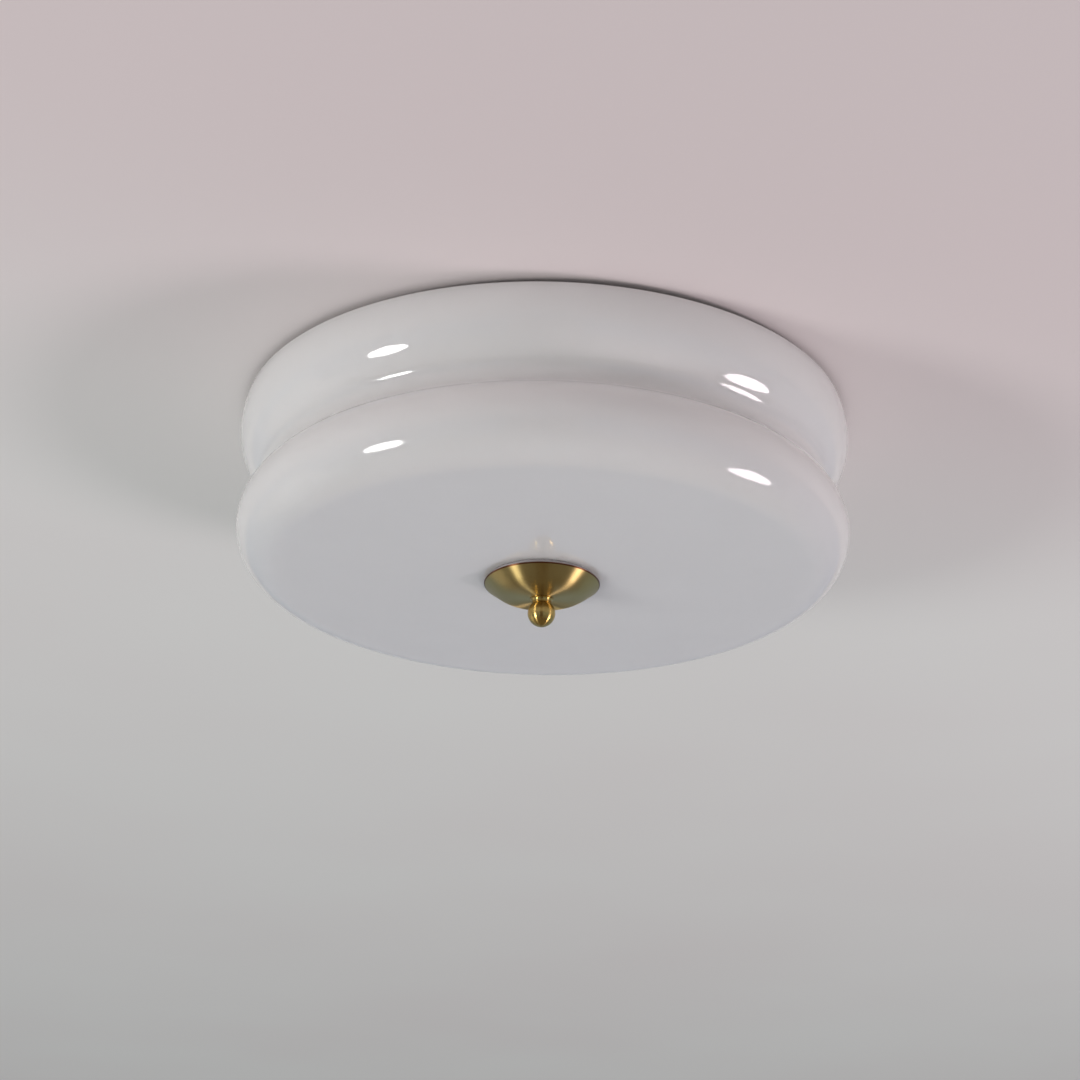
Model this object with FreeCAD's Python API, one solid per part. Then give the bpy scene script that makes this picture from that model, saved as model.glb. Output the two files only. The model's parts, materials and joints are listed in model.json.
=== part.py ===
"""Flush mount ceiling light: a two-lobed opal glass shade, held up by a brass dish and a ball knob."""

import FreeCAD, Part
import math
import os

V = FreeCAD.Vector

# Sizes are millimetres. The origin is the centre of the ceiling face, +Z points up into the ceiling,
# and the light hangs below it, so depths are measured downwards from the ceiling.

# Opal glass shade
shade_rim_gap = 3.0
glass_wall = 4.0
upper_lobe_radius = 175.8
lower_lobe_radius = 174.7
upper_lobe_drop = 14.1
lobe_spacing = 59.2
upper_crown_round = 37.0
upper_under_round = 30.0
waist_round = 10.0
lower_shoulder_round = 24.0
corner_height = 23.7
corner_side_pull = 0.34
corner_flat_pull = 0.75
flat_radius = 150.8
glass_hole_radius = 6.5

# Brass dish and its washer
washer_thickness = 2.0
washer_radius = 31.4
washer_collar_gap = 0.4
dish_rim_radius = 33.0
dish_wall = 1.2
dish_hem_width = 4.0
dish_corner_radius = 22.8
dish_corner_depth = 8.3
dish_corner_round = 16.0
dish_throat_radius = 7.0
dish_depth = 9.3

# Ball knob
ball_radius = 7.86
ball_drop = 18.1
knob_collar_radius = 6.6
knob_collar_edge = 0.5
knob_neck_radius = 5.3
knob_neck_drop = 2.6
knob_floor = 3.4
knob_flare_in = 0.39
knob_flare_down = 1.05

# Threaded hanging rod and what is screwed on it
rod_radius = 3.0
rod_top_depth = 10.0
rod_end_gap = 0.6
rod_hole_gap = 0.4
rod_end_chamfer = 0.6
thread_fit = 0.05
rod_nut_flats = 10.0
rod_nut_height = 5.0
rod_washer_radius = 8.0
rod_washer_thickness = 1.0
stop_washer_radius = 15.0
stop_washer_thickness = 1.5
rubber_ring_radius = 14.0
rubber_ring_thickness = 2.0

# Steel ceiling pan
pan_rim_radius = 150.0
pan_mouth_radius = 147.0
pan_floor_radius = 138.0
pan_depth = 22.0
pan_sheet = 1.0
pan_bead_radius = 104.0
pan_bead_width = 10.0
pan_bead_height = 3.0

# Ceiling strap and the studs that carry the pan
strap_width = 22.0
strap_sheet = 1.5
strap_joggle_run = 6.0
strap_joggle_drop = 6.0
strap_step_to_stud = 10.0
strap_stud_to_end = 9.0
slot_spacing = 72.0
slot_width = 5.2
slot_length = 14.0
stud_spacing = 132.0
strap_corner_round = 4.4

# M4 and M3 hardware
m4_radius = 2.0
m4_hole_radius = 2.25
m4_head_radius = 4.0
m4_head_height = 2.4
m4_nut_flats = 7.0
m4_nut_height = 3.2
m4_thread_past_nut = 0.8
m3_radius = 1.5
m3_hole_radius = 1.6
m3_head_radius = 2.8
m3_head_height = 2.0
cap_nut_hex_height = 4.0
cap_nut_height = 8.0
cap_nut_bore_depth = 5.6
cap_washer_radius = 5.0
cap_washer_thickness = 1.0
stud_tip_gap = 0.7

# How every screw head and nut is shaped, as shares of its own head or corner
head_round_share = 0.45
cross_reach_share = 1.2
cross_width_share = 0.3
cross_depth_share = 0.5
nut_chamfer_share = 0.9

# Lampholders and their angle brackets
lamp_axis_depth = 59.0
holder_rear = 21.5
angle_sheet = 1.5
angle_width = 13.0
angle_foot_length = 26.0
angle_plate_below_axis = 17.0
angle_bend_radius = 2.5
foot_screw_places = (8.5, 19.5)
holder_radius = 19.5
holder_length = 42.5
holder_lip_radius = 20.6
holder_lip_length = 7.0
holder_edge_round = 1.6
holder_bore_radius = 14.4
holder_ledge = 14.5
contact_well_radius = 8.0
contact_well_floor = 11.5
holder_screw_offset = 11.0
holder_screw_depth = 7.5
shell_bore_radius = 13.35
shell_sheet = 0.5
shell_length = 24.0
leaf_thickness = 0.5
leaf_width = 5.0
leaf_half_length = 6.0
leaf_top_half = 3.0

# Screw-base globe bulbs
bulb_tip = 18.5
bulb_contact_radius = 4.8
bulb_contact_thickness = 1.2
insulator_small_radius = 6.0
insulator_large_radius = 12.0
insulator_height = 3.3
cap_crest_radius = 13.0
cap_root_radius = 12.2
cap_pitch = 3.629
cap_turns = 5
cap_sheet = 0.45
cap_skirt_end = 25.0
cap_lip_radius = 11.5
housing_end = 48.0
housing_small_radius = 13.6
housing_middle_radius = 16.3
housing_wall = 1.4
globe_radius = 22.5
globe_wall = 1.2
bulb_length = 80.0
board_radius = 17.5
board_thickness = 1.5
chip_size = 2.8
chip_height = 0.8
chip_ring_radius = 11.0
chip_count = 8
driver_width = 18.0
driver_thickness = 1.6
driver_start = 8.0

# Supply terminal block, cable grommet and earth point on the pan floor
block_centre_y = 34.0
block_length = 30.0
block_width = 17.0
block_height = 13.0
pole_spacing = 10.0
pole_depth_below_pan = 7.0
block_edge_round = 1.0
block_groove_width = 1.2
block_groove_depth = 2.0
insert_radius = 2.5
insert_bore_radius = 2.1
block_screw_radius = 1.4
block_screw_head_radius = 2.0
block_screw_head_height = 1.2
block_screw_offset = 5.0
block_screw_slot_width = 0.6
block_screw_slot_depth = 0.72
block_hole_gap = 0.1
grommet_x = 34.0
grommet_y = 34.0
grommet_bore_radius = 4.5
grommet_radius = 7.5
grommet_neck_radius = 6.0
grommet_lip = 1.8
grommet_edge_in = 0.6
grommet_edge_up = 0.8
earth_x = -34.0
earth_y = 34.0
lug_radius = 5.0
lug_thickness = 0.8
lug_tail_length = 8.0
lug_tail_radius = 1.6
lug_tail_gap = 0.15
lug_overlap = 0.6
lug_turn_degrees = -36.87

# Internal wiring
wire_radius = 0.9
wire_bend_share = 0.45
wire_pair_offset = 1.0
wire_grip_length = 4.0
wire_straight = 5.0
wire_crossing_reach = 11.0
wire_dips = (1.0, 1.5, 5.0)
wire_hole_radius = 1.1
wire_mouth_radius = 2.6
wire_mouth_depth = 5.0
wire_mouth_overrun = 2.0
wire_entry_y = 7.0
wire_entry_near = 3.0
wire_entry_far = 9.0
wire_end_above_axis = 7.0
earth_wire_bends = ((-1.0, -6.0, 1.5), (-12.0, -9.0, 4.65))
earth_wire_lead = 5.0
clamp_screw_above_axis = 9.0
clamp_screw_radius = 1.4
clamp_head_radius = 2.6
clamp_head_height = 1.5
clamp_head_seat = 15.0
clamp_gap = 0.2

# Places that follow from the sizes above
rim_z = -shade_rim_gap
upper_lobe_z = rim_z - upper_lobe_drop
lower_lobe_z = upper_lobe_z - lobe_spacing
glass_bottom_z = lower_lobe_z - corner_height
glass_floor_z = glass_bottom_z + glass_wall
dish_rim_z = glass_bottom_z - washer_thickness
dish_bottom_z = dish_rim_z - dish_depth
ball_z = dish_rim_z - ball_drop
knob_hole_end_z = ball_z - ball_radius + knob_floor
rod_bottom_z = knob_hole_end_z + rod_end_gap
pan_under_z = -pan_depth
pan_upper_z = pan_under_z + pan_sheet
stop_washer_z = glass_floor_z + rubber_ring_thickness
stop_nut_z = stop_washer_z + stop_washer_thickness
lamp_axis_z = -lamp_axis_depth
tab_z = -strap_joggle_drop
foot_under_z = pan_under_z - angle_sheet
pole_z = pan_under_z - pole_depth_below_pan
block_under_z = pan_under_z - block_height
stud_y = stud_spacing / 2
lug_tail_z = pan_under_z - lug_tail_gap - lug_tail_radius
wire_end_z = lamp_axis_z + wire_end_above_axis


def line(start, end):
    return Part.LineSegment(start, end).toShape()


def runs_along(edge, axis):
    return abs(edge.tangentAt(edge.FirstParameter).dot(axis)) > 0.99


def outline(points):
    """A closed run of straight edges in the XZ plane."""
    corners = [V(x, 0, z) for x, z in points]
    return [line(a, b) for a, b in zip(corners, corners[1:] + corners[:1])]


def turned(edges):
    """A solid turned about the Z axis from a closed outline in the XZ plane."""
    face = Part.Face(Part.Wire(Part.__sortEdges__(edges)))
    return face.revolve(V(0, 0, 0), V(0, 0, 1), 360)


def disc(radius, top_z, thickness, hole_radius=0.0, x=0.0, y=0.0):
    """A flat round plate hanging down from top_z."""
    plate = Part.makeCylinder(radius, thickness, V(x, y, top_z - thickness))
    if hole_radius:
        plate = plate.cut(Part.makeCylinder(hole_radius, thickness, V(x, y, top_z - thickness)))
    return plate


def box(low, high):
    return Part.makeBox(high.x - low.x, high.y - low.y, high.z - low.z, low)


def hex_prism(flats, height, base, direction):
    """A hexagonal bar with its first corner on the local X axis."""
    corner_radius = flats / math.sqrt(3)
    corners = [
        V(corner_radius * math.cos(k * math.pi / 3), corner_radius * math.sin(k * math.pi / 3), 0)
        for k in range(6)
    ]
    face = Part.Face(Part.makePolygon(corners + corners[:1]))
    prism = face.extrude(V(0, 0, height))
    prism.Placement = FreeCAD.Placement(base, FreeCAD.Rotation(V(0, 0, 1), direction))
    return prism


def hex_nut(flats, height, bore_radius, base, direction):
    """A nut whose corners are turned off by a cone, as on a real one."""
    nut = hex_prism(flats, height, base, direction)
    corner_radius = flats / math.sqrt(3)
    blank = Part.makeCylinder(corner_radius, height, base, direction)
    rims = [e for e in blank.Edges if isinstance(e.Curve, Part.Circle)]
    nut = nut.common(blank.makeChamfer((corner_radius - flats / 2) * nut_chamfer_share, rims))
    return nut.cut(Part.makeCylinder(bore_radius, height, base, direction))


def pan_head_screw(seat, direction, length, radius, head_radius, head_height):
    """A screw whose head rests on seat; its shank runs along direction."""
    shank = Part.makeCylinder(radius, length, seat, direction)
    head = Part.makeCylinder(head_radius, head_height, seat, direction * -1)
    top = [e for e in head.Edges if isinstance(e.Curve, Part.Circle)]
    far = max(top, key=lambda e: (e.Curve.Center - seat).Length)
    head = head.makeFillet(head_height * head_round_share, [far])
    reach = head_radius * cross_reach_share
    width = head_radius * cross_width_share
    depth = head_height * cross_depth_share
    side = V(0, 0, 1) if abs(direction.z) < 0.5 else V(1, 0, 0)
    across = direction.cross(side)
    cross = Part.makeBox(reach, width, depth)
    turn = FreeCAD.Rotation(side, across, direction * -1, "XYZ")
    corner = seat - direction * (head_height - depth) - side * (reach / 2) - across * (width / 2)
    cross.Placement = FreeCAD.Placement(corner, turn)
    other_arm = cross.copy()
    other_arm.rotate(seat, direction, 90)
    return shank.fuse(head).removeSplitter().cut(cross).cut(other_arm)


# Opal glass shade


def waist_centre(under, shoulder):
    """Where the waist's concave round sits, so that it touches the rounds of both lobes."""
    under_reach = upper_under_round + waist_round
    shoulder_reach = lower_shoulder_round + waist_round
    span = shoulder - under
    along = (span.Length**2 + under_reach**2 - shoulder_reach**2) / (2 * span.Length)
    across = math.sqrt(under_reach**2 - along**2)
    toward = (shoulder - under).normalize()
    return under + toward * along + V(-toward.z, 0, toward.x) * across


def round_between(centre, radius, start, end):
    """An arc round a centre from one direction to another."""
    middle = (start + end).normalize()
    return Part.Arc(centre + start * radius, centre + middle * radius, centre + end * radius).toShape()


def corner_curve(equator, flat_edge):
    """The corner of the lower lobe: it leaves the side soon and comes slowly into the flat."""
    side_handle = equator + V(0, 0, (flat_edge.z - equator.z) * corner_side_pull)
    flat_handle = flat_edge + V((equator.x - flat_edge.x) * corner_flat_pull, 0, 0)
    corner = Part.BezierCurve()
    corner.setPoles([equator, side_handle, flat_handle, flat_edge])
    return corner.toShape()


def shade_side(inset):
    """The glass line from rim to centre hole, moved inwards by inset."""
    crown = V(upper_lobe_radius - upper_crown_round, 0, upper_lobe_z)
    under = V(upper_lobe_radius - upper_under_round, 0, upper_lobe_z)
    shoulder = V(lower_lobe_radius - lower_shoulder_round, 0, lower_lobe_z)
    waist = waist_centre(under, shoulder)
    crown_radius = upper_crown_round - inset
    rim_rise = rim_z - glass_wall / 2 - upper_lobe_z
    to_rim = V(math.sqrt(crown_radius**2 - rim_rise**2), 0, rim_rise).normalize()
    outward = V(1, 0, 0)
    to_under = (under - waist).normalize()
    to_shoulder = (shoulder - waist).normalize()
    equator = V(lower_lobe_radius - inset, 0, lower_lobe_z)
    flat_edge = V(flat_radius, 0, glass_bottom_z + inset)
    hole = V(glass_hole_radius, 0, flat_edge.z)
    edges = [
        round_between(crown, crown_radius, to_rim, outward),
        round_between(under, upper_under_round - inset, outward, to_under * -1),
        round_between(waist, waist_round + inset, to_under, to_shoulder),
        round_between(shoulder, lower_shoulder_round - inset, to_shoulder * -1, outward),
        corner_curve(equator, flat_edge),
        line(flat_edge, hole),
    ]
    return crown + to_rim * crown_radius, hole, edges


def make_glass_shade():
    outer_rim, outer_hole, outer = shade_side(0.0)
    inner_rim, inner_hole, inner = shade_side(glass_wall)
    rim_top = V((outer_rim.x + inner_rim.x) / 2, 0, rim_z)
    rim_round = Part.Arc(outer_rim, rim_top, inner_rim).toShape()
    return turned(outer + inner + [rim_round, line(outer_hole, inner_hole)])


# Brass dish, washer and knob


def dish_side(inset):
    """The dish line from its rim, round its shoulder and in to the throat, moved inwards by inset."""
    rim = V(dish_rim_radius, 0, dish_rim_z)
    corner = V(dish_corner_radius, 0, dish_rim_z - dish_corner_depth)
    throat = V(dish_throat_radius, 0, dish_bottom_z)
    down = (corner - rim).normalize()
    across = (throat - corner).normalize()
    half_turn = down.getAngle(across) / 2
    tangent = dish_corner_round * math.tan(half_turn)
    inward = (across - down).normalize()
    centre = corner + inward * (dish_corner_round / math.cos(half_turn))
    first = corner - down * tangent
    last = corner + across * tangent
    middle = centre - inward * dish_corner_round
    first_inset = (centre - first).normalize() * inset
    last_inset = (centre - last).normalize() * inset
    return [
        rim + first_inset,
        first + first_inset,
        middle + inward * inset,
        last + last_inset,
        throat + last_inset,
    ]


def make_brass_dish():
    """A spun shell with a hem folded in at its rim, open towards the glass."""
    outer = dish_side(0.0)
    inner = dish_side(dish_wall)
    hole_radius = rod_radius + rod_hole_gap
    bottom_outer = V(hole_radius, 0, dish_bottom_z)
    bottom_inner = V(hole_radius, 0, inner[4].z)
    hem_top = V(dish_rim_radius - dish_hem_width, 0, dish_rim_z)
    hem_under = V(dish_rim_radius - dish_hem_width, 0, dish_rim_z - dish_wall)
    steep = (inner[1].z - inner[0].z) / (inner[1].x - inner[0].x)
    meets = V(inner[0].x + (hem_under.z - inner[0].z) / steep, 0, hem_under.z)
    edges = [
        line(outer[0], outer[1]),
        Part.Arc(outer[1], outer[2], outer[3]).toShape(),
        line(outer[3], outer[4]),
        line(outer[4], bottom_outer),
        line(bottom_outer, bottom_inner),
        line(bottom_inner, inner[4]),
        line(inner[4], inner[3]),
        Part.Arc(inner[3], inner[2], inner[1]).toShape(),
        line(inner[1], meets),
        line(meets, hem_under),
        line(hem_under, hem_top),
        line(hem_top, outer[0]),
    ]
    return turned(edges)


def make_shade_washer():
    """A clear washer under the glass, with a collar that centres the rod in the glass hole."""
    hole_radius = rod_radius + rod_hole_gap
    washer = disc(washer_radius, glass_bottom_z, washer_thickness, hole_radius)
    collar_height = glass_wall - washer_collar_gap
    collar_top = glass_bottom_z + collar_height
    collar = disc(glass_hole_radius - washer_collar_gap, collar_top, collar_height, hole_radius)
    return washer.fuse(collar).removeSplitter()


def make_finial_knob():
    """A ball on a short flared collar, with a blind threaded hole from above."""
    neck_meets_ball_z = ball_z + math.sqrt(ball_radius**2 - knob_neck_radius**2)
    collar_edge_z = dish_bottom_z - knob_collar_edge
    neck_z = dish_bottom_z - knob_neck_drop
    bore = rod_radius + thread_fit
    collar_edge = V(knob_collar_radius, 0, collar_edge_z)
    flare_middle = V(knob_neck_radius + knob_flare_in, 0, collar_edge_z - knob_flare_down)
    neck_start = V(knob_neck_radius, 0, neck_z)
    edges = [
        line(V(bore, 0, dish_bottom_z), V(knob_collar_radius, 0, dish_bottom_z)),
        line(V(knob_collar_radius, 0, dish_bottom_z), collar_edge),
        Part.Arc(collar_edge, flare_middle, neck_start).toShape(),
        line(neck_start, V(knob_neck_radius, 0, neck_meets_ball_z)),
        Part.Arc(
            V(knob_neck_radius, 0, neck_meets_ball_z),
            V(ball_radius, 0, ball_z),
            V(0, 0, ball_z - ball_radius),
        ).toShape(),
        line(V(0, 0, ball_z - ball_radius), V(0, 0, knob_hole_end_z)),
        line(V(0, 0, knob_hole_end_z), V(bore, 0, knob_hole_end_z)),
        line(V(bore, 0, knob_hole_end_z), V(bore, 0, dish_bottom_z)),
    ]
    return turned(edges)


# Rod, nuts and washers


def make_hanger_rod():
    top_z = -rod_top_depth
    rod = Part.makeCylinder(rod_radius, top_z - rod_bottom_z, V(0, 0, rod_bottom_z))
    ends = [e for e in rod.Edges if isinstance(e.Curve, Part.Circle)]
    return rod.makeChamfer(rod_end_chamfer, ends)


def make_rod_nuts():
    upper_z = pan_upper_z + rod_washer_thickness
    lower_z = pan_under_z - rod_washer_thickness - rod_nut_height
    up = V(0, 0, 1)
    return [
        hex_nut(rod_nut_flats, rod_nut_height, rod_radius, V(0, 0, upper_z), up),
        hex_nut(rod_nut_flats, rod_nut_height, rod_radius, V(0, 0, lower_z), up),
    ]


def make_rod_washers():
    hole_radius = rod_radius + rod_hole_gap / 2
    return [
        disc(rod_washer_radius, pan_upper_z + rod_washer_thickness, rod_washer_thickness, hole_radius),
        disc(rod_washer_radius, pan_under_z, rod_washer_thickness, hole_radius),
    ]


def make_stop_nut():
    return hex_nut(rod_nut_flats, rod_nut_height, rod_radius, V(0, 0, stop_nut_z), V(0, 0, 1))


def make_stop_washer():
    return disc(stop_washer_radius, stop_nut_z, stop_washer_thickness, rod_radius + rod_hole_gap / 2)


def make_rubber_ring():
    return disc(rubber_ring_radius, stop_washer_z, rubber_ring_thickness, rod_radius + rod_hole_gap / 2)


# Ceiling pan


def pan_holes():
    """Every hole through the pan floor, as cutters."""
    reach = pan_bead_height + 4 * pan_sheet
    low = pan_under_z - pan_sheet

    def hole(x, y, radius):
        return Part.makeCylinder(radius, reach, V(x, y, low))

    cutters = [hole(0, 0, rod_radius + rod_hole_gap)]
    cutters += [hole(0, side * stud_y, m4_hole_radius) for side in (-1, 1)]
    cutters += [hole(side * x, 0, m4_hole_radius) for side in (-1, 1) for x in foot_screw_xs()]
    cutters.append(hole(grommet_x, grommet_y, grommet_neck_radius))
    cutters.append(hole(earth_x, earth_y, m4_hole_radius))
    cutters.append(hole(pole_spacing / 2, block_centre_y, m3_hole_radius))
    return cutters


def make_ceiling_pan():
    """A pressed dish, open towards the ceiling, with a flat rim and one stiffening bead in its floor."""
    floor_outer = pan_floor_radius
    floor_inner = pan_floor_radius - pan_sheet
    mouth_inner = pan_mouth_radius - pan_sheet
    bead_in = pan_bead_radius - pan_bead_width / 2
    bead_out = pan_bead_radius + pan_bead_width / 2
    bead_slope = pan_bead_height
    edges = outline(
        [
            (0, pan_under_z),
            (bead_in, pan_under_z),
            (bead_in + bead_slope, pan_under_z + pan_bead_height),
            (bead_out - bead_slope, pan_under_z + pan_bead_height),
            (bead_out, pan_under_z),
            (floor_outer, pan_under_z),
            (pan_mouth_radius, -pan_sheet),
            (pan_rim_radius, -pan_sheet),
            (pan_rim_radius, 0),
            (mouth_inner, 0),
            (floor_inner, pan_upper_z),
            (bead_out - pan_sheet / 2, pan_upper_z),
            (bead_out - bead_slope - pan_sheet / 2, pan_upper_z + pan_bead_height),
            (bead_in + bead_slope + pan_sheet / 2, pan_upper_z + pan_bead_height),
            (bead_in + pan_sheet / 2, pan_upper_z),
            (0, pan_upper_z),
        ]
    )
    pan = turned(edges)
    for cutter in pan_holes():
        pan = pan.cut(cutter)
    return pan


def make_ceiling_strap():
    """A flat strap against the ceiling, with both ends stepped down to leave room for screw heads."""
    step = stud_y - strap_step_to_stud
    flat = step - strap_joggle_run
    end = stud_y + strap_stud_to_end
    drop = strap_joggle_drop
    upper = [(-end, -drop), (-step, -drop), (-flat, 0), (flat, 0), (step, -drop), (end, -drop)]
    corners = upper + [(y, z - strap_sheet) for y, z in reversed(upper)]
    points = [V(-strap_width / 2, y, z) for y, z in corners]
    strap = Part.Face(Part.makePolygon(points + points[:1])).extrude(V(strap_width, 0, 0))
    uprights = [e for e in strap.Edges if runs_along(e, V(0, 0, 1)) and abs(e.CenterOfMass.y) > step]
    strap = strap.makeFillet(strap_corner_round, uprights)
    for side in (-1, 1):
        strap = strap.cut(ceiling_slot(side * slot_spacing / 2))
        hole = Part.makeCylinder(m4_hole_radius, strap_sheet, V(0, side * stud_y, tab_z - strap_sheet))
        strap = strap.cut(hole)
    return strap


def ceiling_slot(y):
    """One long hole for a ceiling screw, running along the strap."""
    radius = slot_width / 2
    straight = slot_length - slot_width
    slot = box(V(-radius, y - straight / 2, -strap_sheet), V(radius, y + straight / 2, 0))
    for end in (-1, 1):
        slot = slot.fuse(Part.makeCylinder(radius, strap_sheet, V(0, y + end * straight / 2, -strap_sheet)))
    return slot.removeSplitter()


def make_strap_studs():
    """Long screws that hang from the strap's ends and carry the pan."""
    tip_z = pan_under_z - cap_washer_thickness - cap_nut_bore_depth + stud_tip_gap
    return [
        pan_head_screw(
            V(0, side * stud_y, tab_z), V(0, 0, -1), tab_z - tip_z, m4_radius, m4_head_radius, m4_head_height
        )
        for side in (-1, 1)
    ]


def make_stud_nuts():
    base_z = tab_z - strap_sheet - m4_nut_height
    return [
        hex_nut(m4_nut_flats, m4_nut_height, m4_radius, V(0, side * stud_y, base_z), V(0, 0, 1))
        for side in (-1, 1)
    ]


def make_cap_washers():
    return [
        disc(cap_washer_radius, pan_under_z, cap_washer_thickness, m4_hole_radius, 0, side * stud_y)
        for side in (-1, 1)
    ]


def make_cap_nuts():
    """Domed nuts that hold the pan up on the studs."""
    top_z = pan_under_z - cap_washer_thickness
    dome_radius = m4_nut_flats / 2
    nuts = []
    for side in (-1, 1):
        base = V(0, side * stud_y, top_z)
        hexagon = hex_prism(m4_nut_flats, cap_nut_hex_height, base, V(0, 0, -1))
        dome = Part.makeSphere(dome_radius, base - V(0, 0, cap_nut_height - dome_radius))
        stem_length = cap_nut_height - dome_radius
        stem = Part.makeCylinder(dome_radius, stem_length, base - V(0, 0, stem_length))
        bore = Part.makeCylinder(m4_radius, cap_nut_bore_depth, base, V(0, 0, -1))
        nuts.append(hexagon.fuse(dome).fuse(stem).removeSplitter().cut(bore))
    return nuts


# Supply terminals


def pole_xs():
    return [k * pole_spacing for k in (-1, 0, 1)]


def block_screw_ys():
    return [block_centre_y + side * block_screw_offset for side in (-1, 1)]


def make_terminal_block():
    half = block_width / 2
    low = V(-block_length / 2, block_centre_y - half, block_under_z)
    high = V(block_length / 2, block_centre_y + half, pan_under_z)
    block = box(low, high)
    uprights = [e for e in block.Edges if runs_along(e, V(0, 0, 1))]
    block = block.makeFillet(block_edge_round, uprights)
    gap = block_hole_gap
    for x in pole_xs():
        start = V(x, low.y, pole_z)
        block = block.cut(Part.makeCylinder(insert_radius, block_width, start, V(0, 1, 0)))
        for y in block_screw_ys():
            well_depth = pole_z - block_under_z
            well = Part.makeCylinder(block_screw_head_radius + gap, well_depth, V(x, y, block_under_z))
            block = block.cut(well)
    groove_half = block_groove_width / 2
    groove_top_z = block_under_z + block_groove_depth
    for x in (-pole_spacing / 2, pole_spacing / 2):
        groove = box(V(x - groove_half, low.y, block_under_z), V(x + groove_half, high.y, groove_top_z))
        block = block.cut(groove)
    fixing_start = V(pole_spacing / 2, block_centre_y, block_under_z)
    block = block.cut(Part.makeCylinder(m3_hole_radius, block_height, fixing_start))
    return block.cut(Part.makeCylinder(m3_head_radius + gap, m3_head_height, fixing_start))


def make_terminal_inserts():
    """Brass tubes in the terminal block, one for each pole."""
    half = block_width / 2
    inserts = []
    for x in pole_xs():
        start = V(x, block_centre_y - half, pole_z)
        tube = Part.makeCylinder(insert_radius, block_width, start, V(0, 1, 0))
        tube = tube.cut(Part.makeCylinder(insert_bore_radius, block_width, start, V(0, 1, 0)))
        for y in block_screw_ys():
            hole_radius = block_screw_radius + block_hole_gap / 2
            hole_start = V(x, y, pole_z - insert_radius * 2)
            tube = tube.cut(Part.makeCylinder(hole_radius, insert_radius * 2, hole_start))
        inserts.append(tube)
    return inserts


def make_terminal_screws():
    """Clamping screws of the terminal block, put in from below."""
    tip_z = pole_z - wire_radius - clamp_gap
    seat_z = pole_z - insert_radius - block_screw_head_height
    head_z = seat_z - block_screw_head_height
    slot_half = block_screw_slot_width / 2
    screws = []
    for x in pole_xs():
        for y in block_screw_ys():
            seat = V(x, y, seat_z)
            shank = Part.makeCylinder(block_screw_radius, tip_z - seat_z, seat)
            head = Part.makeCylinder(block_screw_head_radius, block_screw_head_height, V(x, y, head_z))
            slot_low = V(x - block_screw_head_radius, y - slot_half, head_z)
            slot_high = V(x + block_screw_head_radius, y + slot_half, head_z + block_screw_slot_depth)
            screws.append(shank.fuse(head).removeSplitter().cut(box(slot_low, slot_high)))
    return screws


def make_block_fixing_screw():
    seat = V(pole_spacing / 2, block_centre_y, block_under_z + m3_head_height)
    length = pan_upper_z + m4_thread_past_nut - seat.z
    return pan_head_screw(seat, V(0, 0, 1), length, m3_radius, m3_head_radius, m3_head_height)


def make_cable_grommet():
    """A rubber ring in the pan floor, grooved to hold the sheet."""
    top = pan_upper_z + grommet_lip
    bottom = pan_under_z - grommet_lip
    grommet = turned(
        outline(
            [
                (grommet_bore_radius, bottom),
                (grommet_radius - grommet_edge_in, bottom),
                (grommet_radius, bottom + grommet_edge_up),
                (grommet_radius, pan_under_z),
                (grommet_neck_radius, pan_under_z),
                (grommet_neck_radius, pan_upper_z),
                (grommet_radius, pan_upper_z),
                (grommet_radius, top - grommet_edge_up),
                (grommet_radius - grommet_edge_in, top),
                (grommet_bore_radius, top),
            ]
        )
    )
    grommet.translate(V(grommet_x, grommet_y, 0))
    return grommet


def make_earth_screw():
    nut_room = m4_nut_height + m4_thread_past_nut
    seat = V(earth_x, earth_y, pan_under_z - lug_thickness)
    length = lug_thickness + pan_sheet + nut_room
    return pan_head_screw(seat, V(0, 0, 1), length, m4_radius, m4_head_radius, m4_head_height)


def make_earth_nut():
    return hex_nut(m4_nut_flats, m4_nut_height, m4_radius, V(earth_x, earth_y, pan_upper_z), V(0, 0, 1))


def lug_direction():
    """The way the earth lug's tail points: towards the inner side of the terminal block."""
    turn = math.radians(lug_turn_degrees)
    return V(math.cos(turn), math.sin(turn), 0)


def make_earth_lug():
    ring = disc(lug_radius, pan_under_z, lug_thickness, m4_radius, earth_x, earth_y)
    start = V(earth_x, earth_y, lug_tail_z) + lug_direction() * (lug_radius - lug_overlap)
    tail = Part.makeCylinder(lug_tail_radius, lug_tail_length, start, lug_direction())
    bore_start = start + lug_direction() * (lug_tail_length / 2)
    bore = Part.makeCylinder(wire_radius, lug_tail_length / 2, bore_start, lug_direction())
    return ring.fuse(tail).removeSplitter().cut(bore)


# Lampholders, one on each side of the rod


def on_lamp_axis(shape):
    """Lays a shape turned about Z along the right-hand lamp axis, with its zero at the holder's rear."""
    laid = shape.copy()
    laid.rotate(V(0, 0, 0), V(0, 1, 0), 90)
    laid.translate(V(holder_rear, 0, lamp_axis_z))
    return laid


def both_sides(right):
    """The right-hand piece and its mirror image on the left."""
    return {"right": right, "left": right.mirror(V(0, 0, 0), V(1, 0, 0))}


def foot_screw_xs():
    return [holder_rear + place for place in foot_screw_places]


def edges_along_y(shape, x, z):
    """The edges of a shape that run along Y through one point of the XZ plane."""
    near = V(x, 0, z)
    found = []
    for edge in shape.Edges:
        if runs_along(edge, V(0, 1, 0)) and (edge.CenterOfMass - near).Length < angle_sheet / 2:
            found.append(edge)
    return found


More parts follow.
